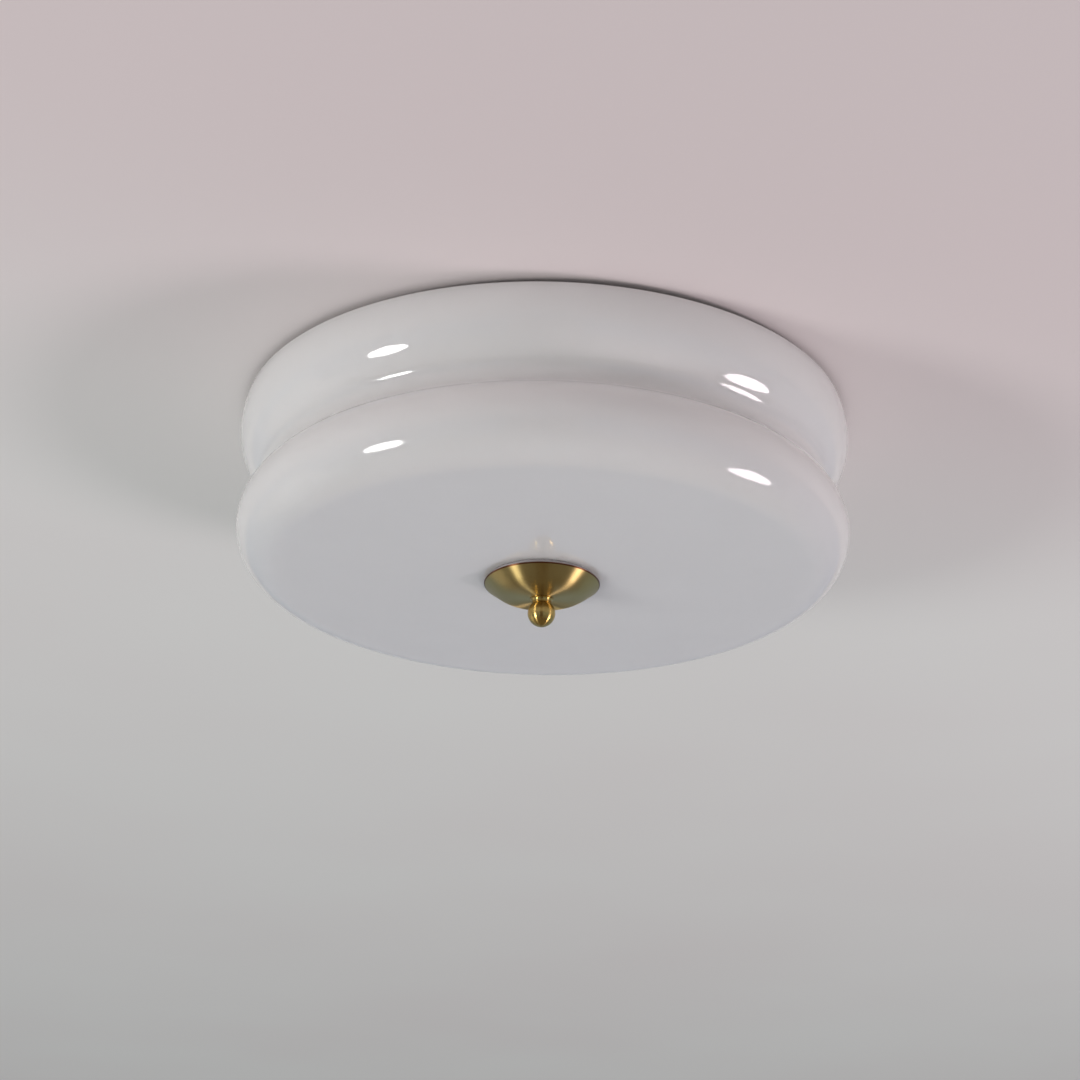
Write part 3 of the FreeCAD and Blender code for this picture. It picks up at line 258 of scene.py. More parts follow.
class Finish:
    """A procedural material: a Principled shader and the textures that feed it, on Object coordinates."""

    def __init__(self, name, base, roughness, metallic=0.0, **values):
        self.material = bpy.data.materials.new(name)
        self.material.use_nodes = True
        self.nodes = self.material.node_tree.nodes
        self.links = self.material.node_tree.links
        self.shader = self.nodes["Principled BSDF"]
        self.place = self.nodes.new("ShaderNodeTexCoord").outputs["Object"]
        self.base = (*base, 1.0)
        self.shader.inputs["Base Color"].default_value = self.base
        self.shader.inputs["Roughness"].default_value = roughness
        self.shader.inputs["Metallic"].default_value = metallic
        for socket, value in values.items():
            title = socket.replace("_", " ").title().replace("Ior", "IOR")
            self.shader.inputs[title].default_value = value

    def node(self, kind, **settings):
        made = self.nodes.new(kind)
        for name, value in settings.items():
            setattr(made, name, value)
        return made

    def feed(self, socket, value):
        """Links an output to an input, or sets a plain value on it."""
        if isinstance(value, bpy.types.NodeSocket):
            self.links.new(value, socket)
        else:
            socket.default_value = value

    def moved(self, turn=(0.0, 0.0, 0.0), scale=(1.0, 1.0, 1.0)):
        """Object coordinates, turned and stretched."""
        mapping = self.node("ShaderNodeMapping")
        self.feed(mapping.inputs["Vector"], self.place)
        mapping.inputs["Rotation"].default_value = turn
        mapping.inputs["Scale"].default_value = scale
        return mapping.outputs["Vector"]

    def from_axis(self):
        """How far a point is from the Z axis."""
        distance = self.node("ShaderNodeVectorMath", operation="LENGTH")
        self.feed(distance.inputs[0], self.moved(scale=(1.0, 1.0, 0.0)))
        return distance.outputs["Value"]

    def noise(self, scale, detail=3.0, roughness=0.55, distortion=0.0):
        texture = self.node("ShaderNodeTexNoise")
        self.feed(texture.inputs["Vector"], self.place)
        texture.inputs["Scale"].default_value = scale
        texture.inputs["Detail"].default_value = detail
        texture.inputs["Roughness"].default_value = roughness
        texture.inputs["Distortion"].default_value = distortion
        return texture.outputs["Fac"]

    def rings(self, spacing, distortion):
        """Fine grooves round the Z axis, as a lathe or a brush leaves them."""
        texture = self.node("ShaderNodeTexWave", wave_type="RINGS", rings_direction="Z")
        self.feed(texture.inputs["Vector"], self.place)
        texture.inputs["Scale"].default_value = math.pi / (10.0 * spacing)
        texture.inputs["Distortion"].default_value = distortion
        texture.inputs["Detail"].default_value = 2.0
        return texture.outputs["Fac"]

    def cells(self, scale, feature="F1"):
        texture = self.node("ShaderNodeTexVoronoi", feature=feature)
        self.feed(texture.inputs["Vector"], self.place)
        texture.inputs["Scale"].default_value = scale
        return texture.outputs["Distance"]

    def between(self, factor, low, high, start=0.3, end=0.7):
        """A factor that runs from start to end, turned into a value from low to high."""
        ranged = self.node("ShaderNodeMapRange", interpolation_type="SMOOTHSTEP")
        self.feed(ranged.inputs["Value"], factor)
        ranged.inputs["From Min"].default_value = start
        ranged.inputs["From Max"].default_value = end
        ranged.inputs["To Min"].default_value = low
        ranged.inputs["To Max"].default_value = high
        return ranged.outputs["Result"]

    def tint(self, factor, other):
        """Mixes another colour into the base, more where the factor is high."""
        mixed = self.node("ShaderNodeMix", data_type="RGBA")
        self.feed(mixed.inputs["Factor"], factor)
        before = self.shader.inputs["Base Color"]
        self.feed(mixed.inputs["A"], before.links[0].from_socket if before.is_linked else self.base)
        self.feed(mixed.inputs["B"], (*other, 1.0))
        self.feed(before, mixed.outputs["Result"])

    def wear(self, factor, low, high, start=0.3, end=0.7):
        """Varies the roughness between two values."""
        self.feed(self.shader.inputs["Roughness"], self.between(factor, low, high, start, end))

    def relief(self, height, depth, strength):
        """Adds a bump of a real depth to what bumps are there."""
        bump = self.node("ShaderNodeBump")
        bump.inputs["Strength"].default_value = strength
        bump.inputs["Distance"].default_value = depth
        self.feed(bump.inputs["Height"], height)
        normal = self.shader.inputs["Normal"]
        if normal.is_linked:
            self.feed(bump.inputs["Normal"], normal.links[0].from_socket)
        self.feed(normal, bump.outputs["Normal"])

    def brushed_round(self, amount):
        """Stretches highlights across grooves that run round the Z axis."""
        tangent = self.node("ShaderNodeTangent", direction_type="RADIAL", axis="Z")
        self.feed(self.shader.inputs["Tangent"], tangent.outputs["Tangent"])
        self.shader.inputs["Anisotropic"].default_value = amount
        self.shader.inputs["Anisotropic Rotation"].default_value = 0.25


def opal_glass():
    milk = bpy.context.scene.ceiling_light_glass.milk
    finish = Finish("opal_glass", milk, 0.07, ior=1.5, specular_ior_level=0.55)
    finish.shader.inputs["Subsurface Weight"].default_value = 1.0
    finish.shader.inputs["Subsurface Radius"].default_value = (0.95, 0.98, 1.0)
    finish.shader.inputs["Subsurface Scale"].default_value = 0.018
    clouds = finish.noise(7.0, detail=4.0, roughness=0.6)
    finish.tint(finish.between(clouds, 0.0, 0.5), tuple(c * 0.94 for c in milk))
    finish.wear(finish.noise(45.0, detail=5.0), 0.02, 0.045)
    finish.relief(finish.noise(16.0, detail=1.0), 0.0006, 0.35)
    finish.relief(finish.noise(60.0, detail=2.0), 0.00008, 0.25)
    return finish.material


def satin_brass():
    finish = Finish("satin_brass", bpy.context.scene.ceiling_light_brass.satin, 0.38, metallic=1.0)
    warm = finish.noise(60.0, detail=3.0)
    finish.tint(finish.between(warm, 0.0, 0.4), (0.58, 0.40, 0.15))
    # The rim's outer edge is darkened to a thin red-brown line.
    width = bpy.context.scene.ceiling_light_brass.dark_rim_line
    edge = finish.between(finish.from_axis(), 0.0, 1.0, dish_high.x - width, dish_high.x - width * 0.4)
    finish.tint(edge, (0.24, 0.10, 0.05))
    finish.wear(finish.rings(0.0009, distortion=2.0), 0.33, 0.39)
    finish.relief(finish.rings(0.0003, distortion=0.6), 0.000002, 0.3)
    finish.brushed_round(1.0)
    return finish.material


def polished_brass():
    finish = Finish("polished_brass", bpy.context.scene.ceiling_light_brass.polished, 0.14, metallic=1.0)
    stains = finish.noise(420.0, detail=5.0, roughness=0.65)
    finish.tint(finish.between(stains, 0.0, 0.6, 0.45, 0.75), (0.42, 0.25, 0.09))
    finish.wear(finish.noise(500.0, detail=2.0), 0.20, 0.27)
    finish.relief(finish.noise(300.0, detail=1.0), 0.00001, 0.25)
    finish.brushed_round(1.0)
    return finish.material


def white_enamel():
    finish = Finish("white_enamel", (0.80, 0.80, 0.775), 0.32, coat_weight=0.3, coat_roughness=0.12)
    finish.tint(finish.between(finish.noise(12.0), 0.0, 0.4), (0.74, 0.735, 0.70))
    finish.wear(finish.noise(220.0), 0.26, 0.40)
    finish.relief(finish.noise(650.0, detail=1.0), 0.00002, 0.25)
    return finish.material


def zinc_steel():
    finish = Finish("zinc_steel", (0.56, 0.575, 0.60), 0.34, metallic=1.0)
    finish.tint(finish.between(finish.noise(55.0, detail=4.0), 0.0, 0.7), (0.60, 0.585, 0.50))
    finish.tint(finish.between(finish.cells(900.0), 0.0, 0.35, 0.2, 0.9), (0.45, 0.47, 0.50))
    finish.wear(finish.noise(300.0, detail=5.0), 0.24, 0.46)
    finish.relief(finish.noise(1400.0, detail=3.0), 0.000012, 0.5)
    return finish.material


def nickel_plate():
    finish = Finish("nickel_plate", (0.66, 0.645, 0.61), 0.22, metallic=1.0)
    finish.tint(finish.between(finish.noise(160.0, detail=5.0), 0.0, 0.5), (0.55, 0.53, 0.49))
    finish.wear(finish.noise(800.0, detail=4.0), 0.14, 0.32)
    finish.relief(finish.noise(2200.0, detail=2.0), 0.000006, 0.5)
    return finish.material


def contact_brass():
    finish = Finish("contact_brass", (0.68, 0.50, 0.24), 0.30, metallic=1.0)
    finish.tint(finish.between(finish.noise(260.0, detail=5.0), 0.0, 0.7, 0.4, 0.8), (0.40, 0.26, 0.12))
    finish.wear(finish.noise(900.0, detail=4.0), 0.20, 0.42)
    finish.relief(finish.noise(1800.0, detail=2.0), 0.000008, 0.5)
    return finish.material


def tinned_copper():
    finish = Finish("tinned_copper", (0.62, 0.61, 0.58), 0.33, metallic=1.0)
    finish.tint(finish.between(finish.noise(500.0, detail=4.0), 0.0, 0.5, 0.5, 0.8), (0.55, 0.36, 0.24))
    finish.wear(finish.noise(900.0, detail=4.0), 0.24, 0.46)
    finish.relief(finish.noise(1600.0, detail=2.0), 0.000008, 0.5)
    return finish.material


def porcelain():
    finish = Finish("porcelain", (0.80, 0.785, 0.745), 0.14, ior=1.5, coat_weight=0.5, coat_roughness=0.05)
    finish.tint(finish.between(finish.noise(70.0, detail=3.0), 0.0, 0.4), (0.74, 0.72, 0.66))
    specks = finish.cells(420.0)
    finish.tint(finish.between(specks, 0.55, 0.0, 0.02, 0.07), (0.36, 0.30, 0.22))
    finish.wear(finish.noise(140.0), 0.10, 0.22)
    finish.relief(finish.noise(90.0, detail=2.0), 0.0002, 0.3)
    return finish.material


def black_insulator():
    finish = Finish("black_insulator", (0.012, 0.012, 0.016), 0.09, ior=1.5)
    finish.tint(finish.between(finish.noise(380.0, distortion=1.5), 0.0, 0.6), (0.035, 0.03, 0.045))
    finish.wear(finish.noise(600.0), 0.06, 0.20)
    finish.relief(finish.noise(260.0, detail=1.0), 0.00012, 0.3)
    return finish.material


def moulded_plastic(name, base, shade, roughness, grain=1500.0):
    """A moulded plastic with a fine spark-eroded grain."""
    finish = Finish(name, base, roughness)
    finish.tint(finish.between(finish.noise(60.0), 0.0, 0.5), shade)
    finish.wear(finish.noise(400.0, detail=4.0), roughness - 0.06, roughness + 0.08)
    finish.relief(finish.noise(grain, detail=3.0), 0.00002, 0.5)
    return finish


def white_plastic():
    return moulded_plastic("white_plastic", (0.80, 0.80, 0.79), (0.75, 0.745, 0.73), 0.38).material


def opal_plastic():
    finish = moulded_plastic("opal_plastic", (0.83, 0.83, 0.82), (0.79, 0.785, 0.77), 0.46, 2600.0)
    finish.shader.inputs["Subsurface Weight"].default_value = 0.3
    finish.shader.inputs["Subsurface Scale"].default_value = 0.0015
    return finish.material


def terminal_plastic():
    finish = moulded_plastic("terminal_plastic", (0.72, 0.69, 0.60), (0.66, 0.62, 0.52), 0.42)
    finish.shader.inputs["Subsurface Weight"].default_value = 0.2
    finish.shader.inputs["Subsurface Scale"].default_value = 0.001
    return finish.material


def clear_silicone():
    finish = Finish("clear_silicone", (0.60, 0.565, 0.585), 0.16, ior=1.41)
    finish.shader.inputs["Transmission Weight"].default_value = 0.35
    finish.tint(finish.between(finish.noise(120.0), 0.0, 0.5), (0.54, 0.50, 0.53))
    finish.wear(finish.noise(500.0, detail=3.0), 0.10, 0.24)
    finish.relief(finish.noise(300.0, detail=2.0), 0.00005, 0.4)
    return finish.material


def black_rubber():
    finish = Finish("black_rubber", (0.022, 0.022, 0.023), 0.62)
    finish.tint(finish.between(finish.noise(240.0, detail=5.0), 0.0, 0.7), (0.05, 0.048, 0.045))
    finish.wear(finish.noise(600.0, detail=4.0), 0.52, 0.78)
    finish.relief(finish.noise(1800.0, detail=4.0), 0.00004, 0.7)
    return finish.material


def wire_cover(name, base, shade):
    """The soft cover of an inner wire, a little smeared by drawing."""
    finish = Finish(name, base, 0.34)
    finish.tint(finish.between(finish.noise(180.0, detail=4.0), 0.0, 0.6), shade)
    finish.wear(finish.noise(700.0, detail=3.0), 0.26, 0.44)
    finish.relief(finish.noise(1200.0, detail=2.0), 0.00002, 0.5)
    return finish


def brown_wire():
    return wire_cover("brown_wire", (0.105, 0.042, 0.018), (0.15, 0.065, 0.03)).material


def blue_wire():
    return wire_cover("blue_wire", (0.018, 0.075, 0.34), (0.03, 0.11, 0.42)).material


def earth_wire():
    """Green with a yellow stripe that winds round the wire."""
    finish = wire_cover("earth_wire", (0.10, 0.30, 0.045), (0.13, 0.36, 0.06))
    stripes = finish.node("ShaderNodeTexWave", wave_type="BANDS", bands_direction="DIAGONAL")
    finish.feed(stripes.inputs["Vector"], finish.place)
    stripes.inputs["Scale"].default_value = 62.0
    finish.tint(finish.between(stripes.outputs["Fac"], 0.0, 1.0, 0.52, 0.58), (0.72, 0.60, 0.04))
    return finish.material


def board_green():
    """Solder mask over fine copper tracks."""
    finish = Finish("board_green", (0.018, 0.155, 0.05), 0.30)
    tracks = finish.node("ShaderNodeTexBrick", offset=0.37)
    finish.feed(tracks.inputs["Vector"], finish.moved(turn=(math.pi / 2, 0.0, 0.0)))
    tracks.inputs["Scale"].default_value = 130.0
    tracks.inputs["Mortar Size"].default_value = 0.05
    finish.tint(tracks.outputs["Fac"], (0.05, 0.28, 0.10))
    finish.wear(finish.noise(500.0), 0.24, 0.38)
    finish.relief(tracks.outputs["Fac"], 0.00004, 0.6)
    return finish.material


def aluminium_board():
    """White solder mask on an aluminium disc, with the tracks just showing through."""
    finish = Finish("aluminium_board", (0.76, 0.76, 0.74), 0.34)
    tracks = finish.cells(260.0, feature="DISTANCE_TO_EDGE")
    finish.tint(finish.between(tracks, 0.5, 0.0, 0.02, 0.06), (0.60, 0.61, 0.60))
    finish.wear(finish.noise(500.0), 0.26, 0.42)
    finish.relief(finish.between(tracks, 0.0, 1.0, 0.02, 0.06), 0.00003, 0.5)
    return finish.material


def led_yellow():
    """Phosphor gel with tiny grains in it."""
    finish = Finish("led_yellow", (0.80, 0.56, 0.085), 0.32, coat_weight=0.4, coat_roughness=0.1)
    finish.tint(finish.between(finish.cells(2600.0), 0.0, 0.7, 0.2, 0.8), (0.86, 0.68, 0.20))
    finish.wear(finish.noise(900.0), 0.26, 0.42)
    finish.relief(finish.noise(2400.0), 0.00002, 0.6)
    return finish.material


FINISHES = {
    "opal_glass": opal_glass,
    "satin_brass": satin_brass,
    "polished_brass": polished_brass,
    "white_enamel": white_enamel,
    "zinc_steel": zinc_steel,
    "nickel_plate": nickel_plate,
    "contact_brass": contact_brass,
    "tinned_copper": tinned_copper,
    "porcelain": porcelain,
    "black_insulator": black_insulator,
    "white_plastic": white_plastic,
    "opal_plastic": opal_plastic,
    "terminal_plastic": terminal_plastic,
    "clear_silicone": clear_silicone,
    "black_rubber": black_rubber,
    "brown_wire": brown_wire,
    "blue_wire": blue_wire,
    "earth_wire": earth_wire,
    "board_green": board_green,
    "aluminium_board": aluminium_board,
    "led_yellow": led_yellow,
}


def finish_named(name):
    """The material of a slot, made the first time it is asked for."""
    made = bpy.data.materials.get("finish_" + name)
    if made is None:
        made = FINISHES[name]()
        made.name = "finish_" + name
    return made


def dress_node(node_name):
    """Gives a CAD node the finish that its slot in the record names."""
    slots = {part["node"]: part["material_slot"] for part in frame["record"]["subparts"]}
    node = frame["nodes"][node_name]
    for slot in node.material_slots:
        slot.material = finish_named(slots[node_name])


# Mesh helpers


def arc(centre, radius, start, end, steps):
    """Points round a centre in the plane of radius and height, from one angle to another, in radians."""
    angles = [start + (end - start) * step / steps for step in range(steps + 1)]
    return [Vector((centre[0] + radius * math.cos(a), centre[1] + radius * math.sin(a))) for a in angles]


def angle_to(centre, point):
    return math.atan2(point[1] - centre[1], point[0] - centre[0])


def cubic_curve(start, middle_one, middle_two, end, steps):
    """Points along one cubic curve."""
    points = []
    for step in range(steps + 1):
        t = step / steps
        s = 1.0 - t
        inner = middle_one * (3 * s * s * t) + middle_two * (3 * s * t * t)
        points.append(start * s**3 + inner + end * t**3)
    return points


def rounded_corner(before, corner, after, radius, steps):
    """A tangent arc in place of a sharp corner of an outline."""
    arriving = (corner - before).normalized()
    leaving = (after - corner).normalized()
    half_turn = arriving.angle(leaving) / 2
    tangent = radius * math.tan(half_turn)
    inward = (leaving - arriving).normalized()
    centre = corner + inward * (radius / math.cos(half_turn))
    first = angle_to(centre, corner - arriving * tangent)
    last = angle_to(centre, corner + leaving * tangent)
    turn = (last - first + math.pi) % (2 * math.pi) - math.pi
    return arc(centre, radius, first, first + turn, steps)


def finished_piece(name, shell, body, slot, replaced, sharp_degrees=40.0):
    """Turns a bmesh into a smooth piece that rides on a body and stands for CAD nodes."""
    bmesh.ops.remove_doubles(shell, verts=shell.verts, dist=1e-7)
    bmesh.ops.recalc_face_normals(shell, faces=shell.faces)
    mesh = bpy.data.meshes.new(name)
    shell.to_mesh(mesh)
    shell.free()
    mesh.shade_smooth()
    mesh.set_sharp_from_angle(angle=math.radians(sharp_degrees))
    piece = bpy.data.objects.new(name, mesh)
    bpy.context.scene.collection.objects.link(piece)
    mesh.materials.append(finish_named(slot))
    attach(piece, body)
    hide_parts(*replaced)
    return piece


def spun_shell(outline, steps, closed=True):
    """A shell turned about Z from an outline of radii and heights. An open outline ends on the axis."""
    shell = bmesh.new()
    corners = [shell.verts.new((point[0], 0.0, point[1])) for point in outline]
    following = corners[1:] + corners[:1] if closed else corners[1:]
    edges = [shell.edges.new(pair) for pair in zip(corners, following)]
    bmesh.ops.spin(
        shell,
        geom=corners + edges,
        cent=(0, 0, 0),
        axis=(0, 0, 1),
        angle=2 * math.pi,
        steps=steps,
        use_merge=True,
    )
    return shell


# The opal glass shade


def round_between(first, first_reach, second, second_reach):
    """The centre of a round that touches two others, on the side away from the axis."""
    span = second - first
    along = (span.length_squared + first_reach**2 - second_reach**2) / (2 * span.length)
    across = math.sqrt(first_reach**2 - along**2)
    toward = span.normalized()
    return first + toward * along + Vector((-toward.y, toward.x)) * across


def glass_line(glass, inset):
    """The glass line from under the rim to the edge of the flat, moved inwards by inset."""
    rim_z = glass_high.z
    upper_z = rim_z - glass.upper_drop
    lower_z = upper_z - glass.lobe_spacing
    crown = Vector((glass.upper_radius - glass.crown_round, upper_z))
    under = Vector((glass.upper_radius - glass.under_round, upper_z))
    shoulder = Vector((glass.lower_radius - glass.shoulder_round, lower_z))
    waist = round_between(
        under, glass.under_round + glass.waist_round, shoulder, glass.shoulder_round + glass.waist_round
    )
    crown_radius = glass.crown_round - inset
    rim_start = math.asin((rim_z - glass.wall / 2 - crown.y) / crown_radius)
    line = arc(crown, crown_radius, rim_start, 0.0, 16)
    line += arc(under, glass.under_round - inset, 0.0, angle_to(under, waist), 22)[1:]
    to_under = angle_to(waist, under) % (2 * math.pi)
    to_shoulder = angle_to(waist, shoulder) % (2 * math.pi)
    line += arc(waist, glass.waist_round + inset, to_under, to_shoulder, 16)[1:]
    line += arc(shoulder, glass.shoulder_round - inset, angle_to(shoulder, waist), 0.0, 18)[1:]
    side = Vector((glass.lower_radius - inset, lower_z))
    flat = Vector((glass.flat_radius, glass_low.z + inset))
    side_handle = side + Vector((0.0, (flat.y - side.y) * glass.side_pull))
    flat_handle = flat + Vector(((side.x - flat.x) * glass.flat_pull, 0.0))
    line += cubic_curve(side, side_handle, flat_handle, flat, 30)[1:]
    return line


class CEILINGLIGHT_OT_add_glass_shade(bpy.types.Operator):
    """Adds the opal glass shade: two rounded lobes, a waist, a flat underside and a fire-rounded rim"""

    bl_idname = "ceiling_light.add_glass_shade"
    bl_label = "Add Glass Shade"

    def execute(self, context):
        glass = context.scene.ceiling_light_glass
        outer = glass_line(glass, 0.0)
        inner = glass_line(glass, glass.wall)
        middle = (outer[0] + inner[0]) / 2
        half_width = (outer[0].x - inner[0].x) / 2
        rim = [
            middle + Vector((half_width * math.cos(a), glass.wall / 2 * math.sin(a)))
            for a in (math.pi * step / 10 for step in range(1, 10))
        ]
        hole = [Vector((glass.hole_radius, outer[-1].y)), Vector((glass.hole_radius, inner[-1].y))]
        outline = outer + hole + inner[::-1] + rim[::-1]
        shell = spun_shell(outline, GLASS_SEGMENTS)
        finished_piece("opal_glass_shade", shell, "shade", "opal_glass", ["glass_shade"], 60.0)
        return {"FINISHED"}


# Washer, dish and knob


def dish_line(brass, inset):
    """The dish line from its rim, round its shoulder and in to the throat, moved in by inset."""
    corner = Vector((brass.shoulder_radius, dish_high.z - brass.shoulder_drop))
    throat = Vector((brass.throat_radius, dish_low.z))
    slope = math.atan2(brass.shoulder_drop, dish_high.x - brass.shoulder_radius)
    sharp_edge = brass.edge_round / math.tan(slope / 2) - brass.edge_round
    rim = Vector((dish_high.x + sharp_edge, dish_high.z))
    down = (corner - rim).normalized()
    across = (throat - corner).normalized()
    down_in = Vector((down.y, -down.x))
    across_in = Vector((across.y, -across.x))
    shoulder = rounded_corner(rim, corner, throat, brass.shoulder_round, 20)
    centre = corner + (across - down).normalized() * (
        brass.shoulder_round / math.cos(down.angle(across) / 2)
    )
    moved = [point + (centre - point).normalized() * inset for point in shoulder]
    return [rim + down_in * inset] + moved + [throat + across_in * inset]


class CEILINGLIGHT_OT_add_dish(bpy.types.Operator):
    """Adds the clear washer under the glass and the spun brass dish with its folded hem"""

    bl_idname = "ceiling_light.add_dish"
    bl_label = "Add Washer and Dish"

    def execute(self, context):
        brass = context.scene.ceiling_light_brass
        glass = context.scene.ceiling_light_glass
        self.add_washer(brass, glass)
        self.add_dish(brass)
        return {"FINISHED"}

    def add_washer(self, brass, glass):
        bore = rod_high.x + brass.bore_gap
        edge = brass.washer_round
        wide = washer_high.x
        collar = glass.hole_radius - brass.collar_gap
        low = washer_low.z
        seat = glass_low.z
        high = washer_high.z
        outline = [Vector(p) for p in ((bore, low), (wide - edge, low), (wide, low + edge))]
        outline += [Vector(p) for p in ((wide, seat - edge), (wide - edge, seat), (collar, seat))]
        outline += [Vector(p) for p in ((collar, high - edge), (collar - edge, high), (bore, high))]
        shell = spun_shell(outline, WASHER_SEGMENTS)
        finished_piece("clear_washer", shell, "shade", "clear_silicone", ["shade_washer"])

    def add_dish(self, brass):
        outer = dish_line(brass, 0.0)
        inner = dish_line(brass, brass.dish_wall)
        bore = rod_high.x + brass.bore_gap
        hem = dish_high.x - brass.hem_width
        edge = rounded_corner(Vector((hem, dish_high.z)), outer[0], outer[1], brass.edge_round, 8)
        slope = (inner[1].y - inner[0].y) / (inner[1].x - inner[0].x)
        under = dish_high.z - brass.dish_wall
        meets = Vector((inner[0].x + (under - inner[0].y) / slope, under))
        outline = edge + outer[1:] + [Vector((bore, outer[-1].y)), Vector((bore, inner[-1].y))]
        outline += inner[:0:-1] + [meets, Vector((hem, under)), Vector((hem, dish_high.z))]
        shell = spun_shell(outline, DISH_SEGMENTS)
        finished_piece("spun_brass_dish", shell, "shade", "satin_brass", ["brass_dish"], 30.0)


class CEILINGLIGHT_OT_add_knob(bpy.types.Operator):
    """Adds the polished ball knob on its flared collar"""

    bl_idname = "ceiling_light.add_knob"
    bl_label = "Add Ball Knob"

    def execute(self, context):
        brass = context.scene.ceiling_light_brass
        top = knob_high.z
        ball = Vector((0.0, knob_low.z + brass.ball_radius))
        bore = rod_high.x + brass.thread_fit
        hole_end = rod_low.z - brass.rod_end_gap
        collar = Vector((brass.collar_radius, top - brass.lip_height))
        neck = Vector((brass.neck_radius, top - brass.neck_drop))
        span = neck - collar
        flare = [
            collar + Vector((span.x * math.sin(a), span.y * (1 - math.cos(a))))
            for a in (math.pi / 2 * step / 10 for step in range(11))
        ]
        rounding = brass.lip_round
        lip = arc((collar.x - rounding, top - rounding), rounding, math.pi / 2, 0.0, 4)
        start = math.acos(brass.neck_radius / brass.ball_radius)
        sphere = arc(ball, brass.ball_radius, start, -math.pi / 2, 40)
        outline = [Vector((0.0, hole_end)), Vector((bore, hole_end)), Vector((bore, top))]
        outline += lip + flare + sphere
        outline[-1].x = 0.0
        shell = spun_shell(outline, KNOB_SEGMENTS, closed=False)
        finished_piece("ball_knob", shell, "knob", "polished_brass", ["finial_knob"], 35.0)
        return {"FINISHED"}


# Threads


def helix_phase(vert, pitch):
    """How far round the thread a point is: whole numbers are on the same turn's line."""
    return vert.co.z / pitch - math.atan2(vert.co.y, vert.co.x) / (2 * math.pi)


def rise_and_fall(place, start, end, run):
    """Grows from 0 to 1 over a run at the start and falls back at the end."""
    return max(0.0, min(1.0, (place - start) / run, (end - place) / run))


def wall_points(radius, start, end, steps):
    """Points up a straight wall, close enough together to carry a thread."""
    return [Vector((radius, start + (end - start) * step / steps)) for step in range(steps + 1)]


class CEILINGLIGHT_OT_add_hanging_rod(bpy.types.Operator):
    """Adds the hanging rod with its thread cut as a real helix, chamfered at both ends"""

    bl_idname = "ceiling_light.add_hanging_rod"
    bl_label = "Add Hanging Rod"

    def execute(self, context):
        threads = context.scene.ceiling_light_threads
        radius = rod_high.x
        low = rod_low.z + threads.rod_chamfer
        high = rod_high.z - threads.rod_chamfer
        rows = round((high - low) / threads.rod_pitch * ROD_ROWS_PER_TURN)
        end_radius = radius - threads.rod_chamfer
        outline = [Vector((0.0, rod_low.z)), Vector((end_radius, rod_low.z))]
        outline += wall_points(radius, low, high, rows)
        outline += [Vector((end_radius, rod_high.z)), Vector((0.0, rod_high.z))]
        shell = spun_shell(outline, ROD_SEGMENTS, closed=False)
        for vert in shell.verts:
            if not low <= vert.co.z <= high:
                continue
            phase = helix_phase(vert, threads.rod_pitch) % 1.0
            groove = 1.0 - abs(2.0 * phase - 1.0)
            fade = rise_and_fall(vert.co.z, low, high, threads.rod_chamfer)
            vert.co.xy *= (radius - threads.rod_depth * groove * fade) / radius
        finished_piece("threaded_rod", shell, "fixture", "zinc_steel", ["hanger_rod"], 50.0)
        return {"FINISHED"}


class CEILINGLIGHT_OT_add_bulb_caps(bpy.types.Operator):
    """Adds the bulbs' screw caps: thin sheet with a round thread rolled into it as a real helix"""

    bl_idname = "ceiling_light.add_bulb_caps"
    bl_label = "Add Bulb Caps"

    def execute(self, context):
        threads = context.scene.ceiling_light_threads
        for side in ("right", "left"):
            shell = self.cap_shell(threads)
            low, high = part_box(side + "_bulb_cap")
            outward = 1.0 if side == "right" else -1.0
            middle = (low + high) / 2
            start = Vector((low.x if outward > 0 else high.x, middle.y, middle.z))
            along = Matrix.Rotation(math.pi / 2 * outward, 4, "Y")
            bmesh.ops.transform(shell, matrix=Matrix.Translation(start) @ along, verts=shell.verts)
            name = side + "_screw_cap"
            finished_piece(name, shell, side + "_bulb", "nickel_plate", [side + "_bulb_cap"], 50.0)
        return {"FINISHED"}

    def cap_shell(self, threads):
        """One cap along Z from its lip at 0. Its widest crests reach the CAD cap's radius."""
        crest = (cap_high.y - cap_low.y) / 2
        root = crest - threads.cap_depth
        depth = cap_high.x - cap_low.x
        sheet = threads.cap_sheet
        outer = wall_points(root, sheet, depth, CAP_ROWS)
        inner = wall_points(root - sheet, sheet, depth, CAP_ROWS)
        lip = [Vector((threads.cap_lip, sheet)), Vector((threads.cap_lip, 0.0))]
        corner = Vector((root - sheet / 2, 0.0))
        shell = spun_shell(outer + inner[::-1] + lip + [corner], CAP_SEGMENTS)
        run = threads.cap_pitch / 2
        for vert in shell.verts:
            radius = vert.co.xy.length
            if radius < root - 1.5 * sheet:
                continue
            turn = 2 * math.pi * helix_phase(vert, threads.cap_pitch)
            swell = threads.cap_depth / 2 * (1.0 - math.cos(turn))
            swell *= rise_and_fall(vert.co.z, sheet, depth - run / 2, run)
            vert.co.xy *= (radius + swell) / radius
        return shell


# Finishes of the CAD nodes that keep their own shape


class CEILINGLIGHT_OT_finish_hardware(bpy.types.Operator):
    """Gives every CAD node that still shows its own procedural finish"""

    bl_idname = "ceiling_light.finish_hardware"
    bl_label = "Finish Hardware"

    def execute(self, context):
        for name, node in frame["nodes"].items():
            if not node.hide_render:
                dress_node(name)
        return {"FINISHED"}


# Stage: ceiling, lamps and camera


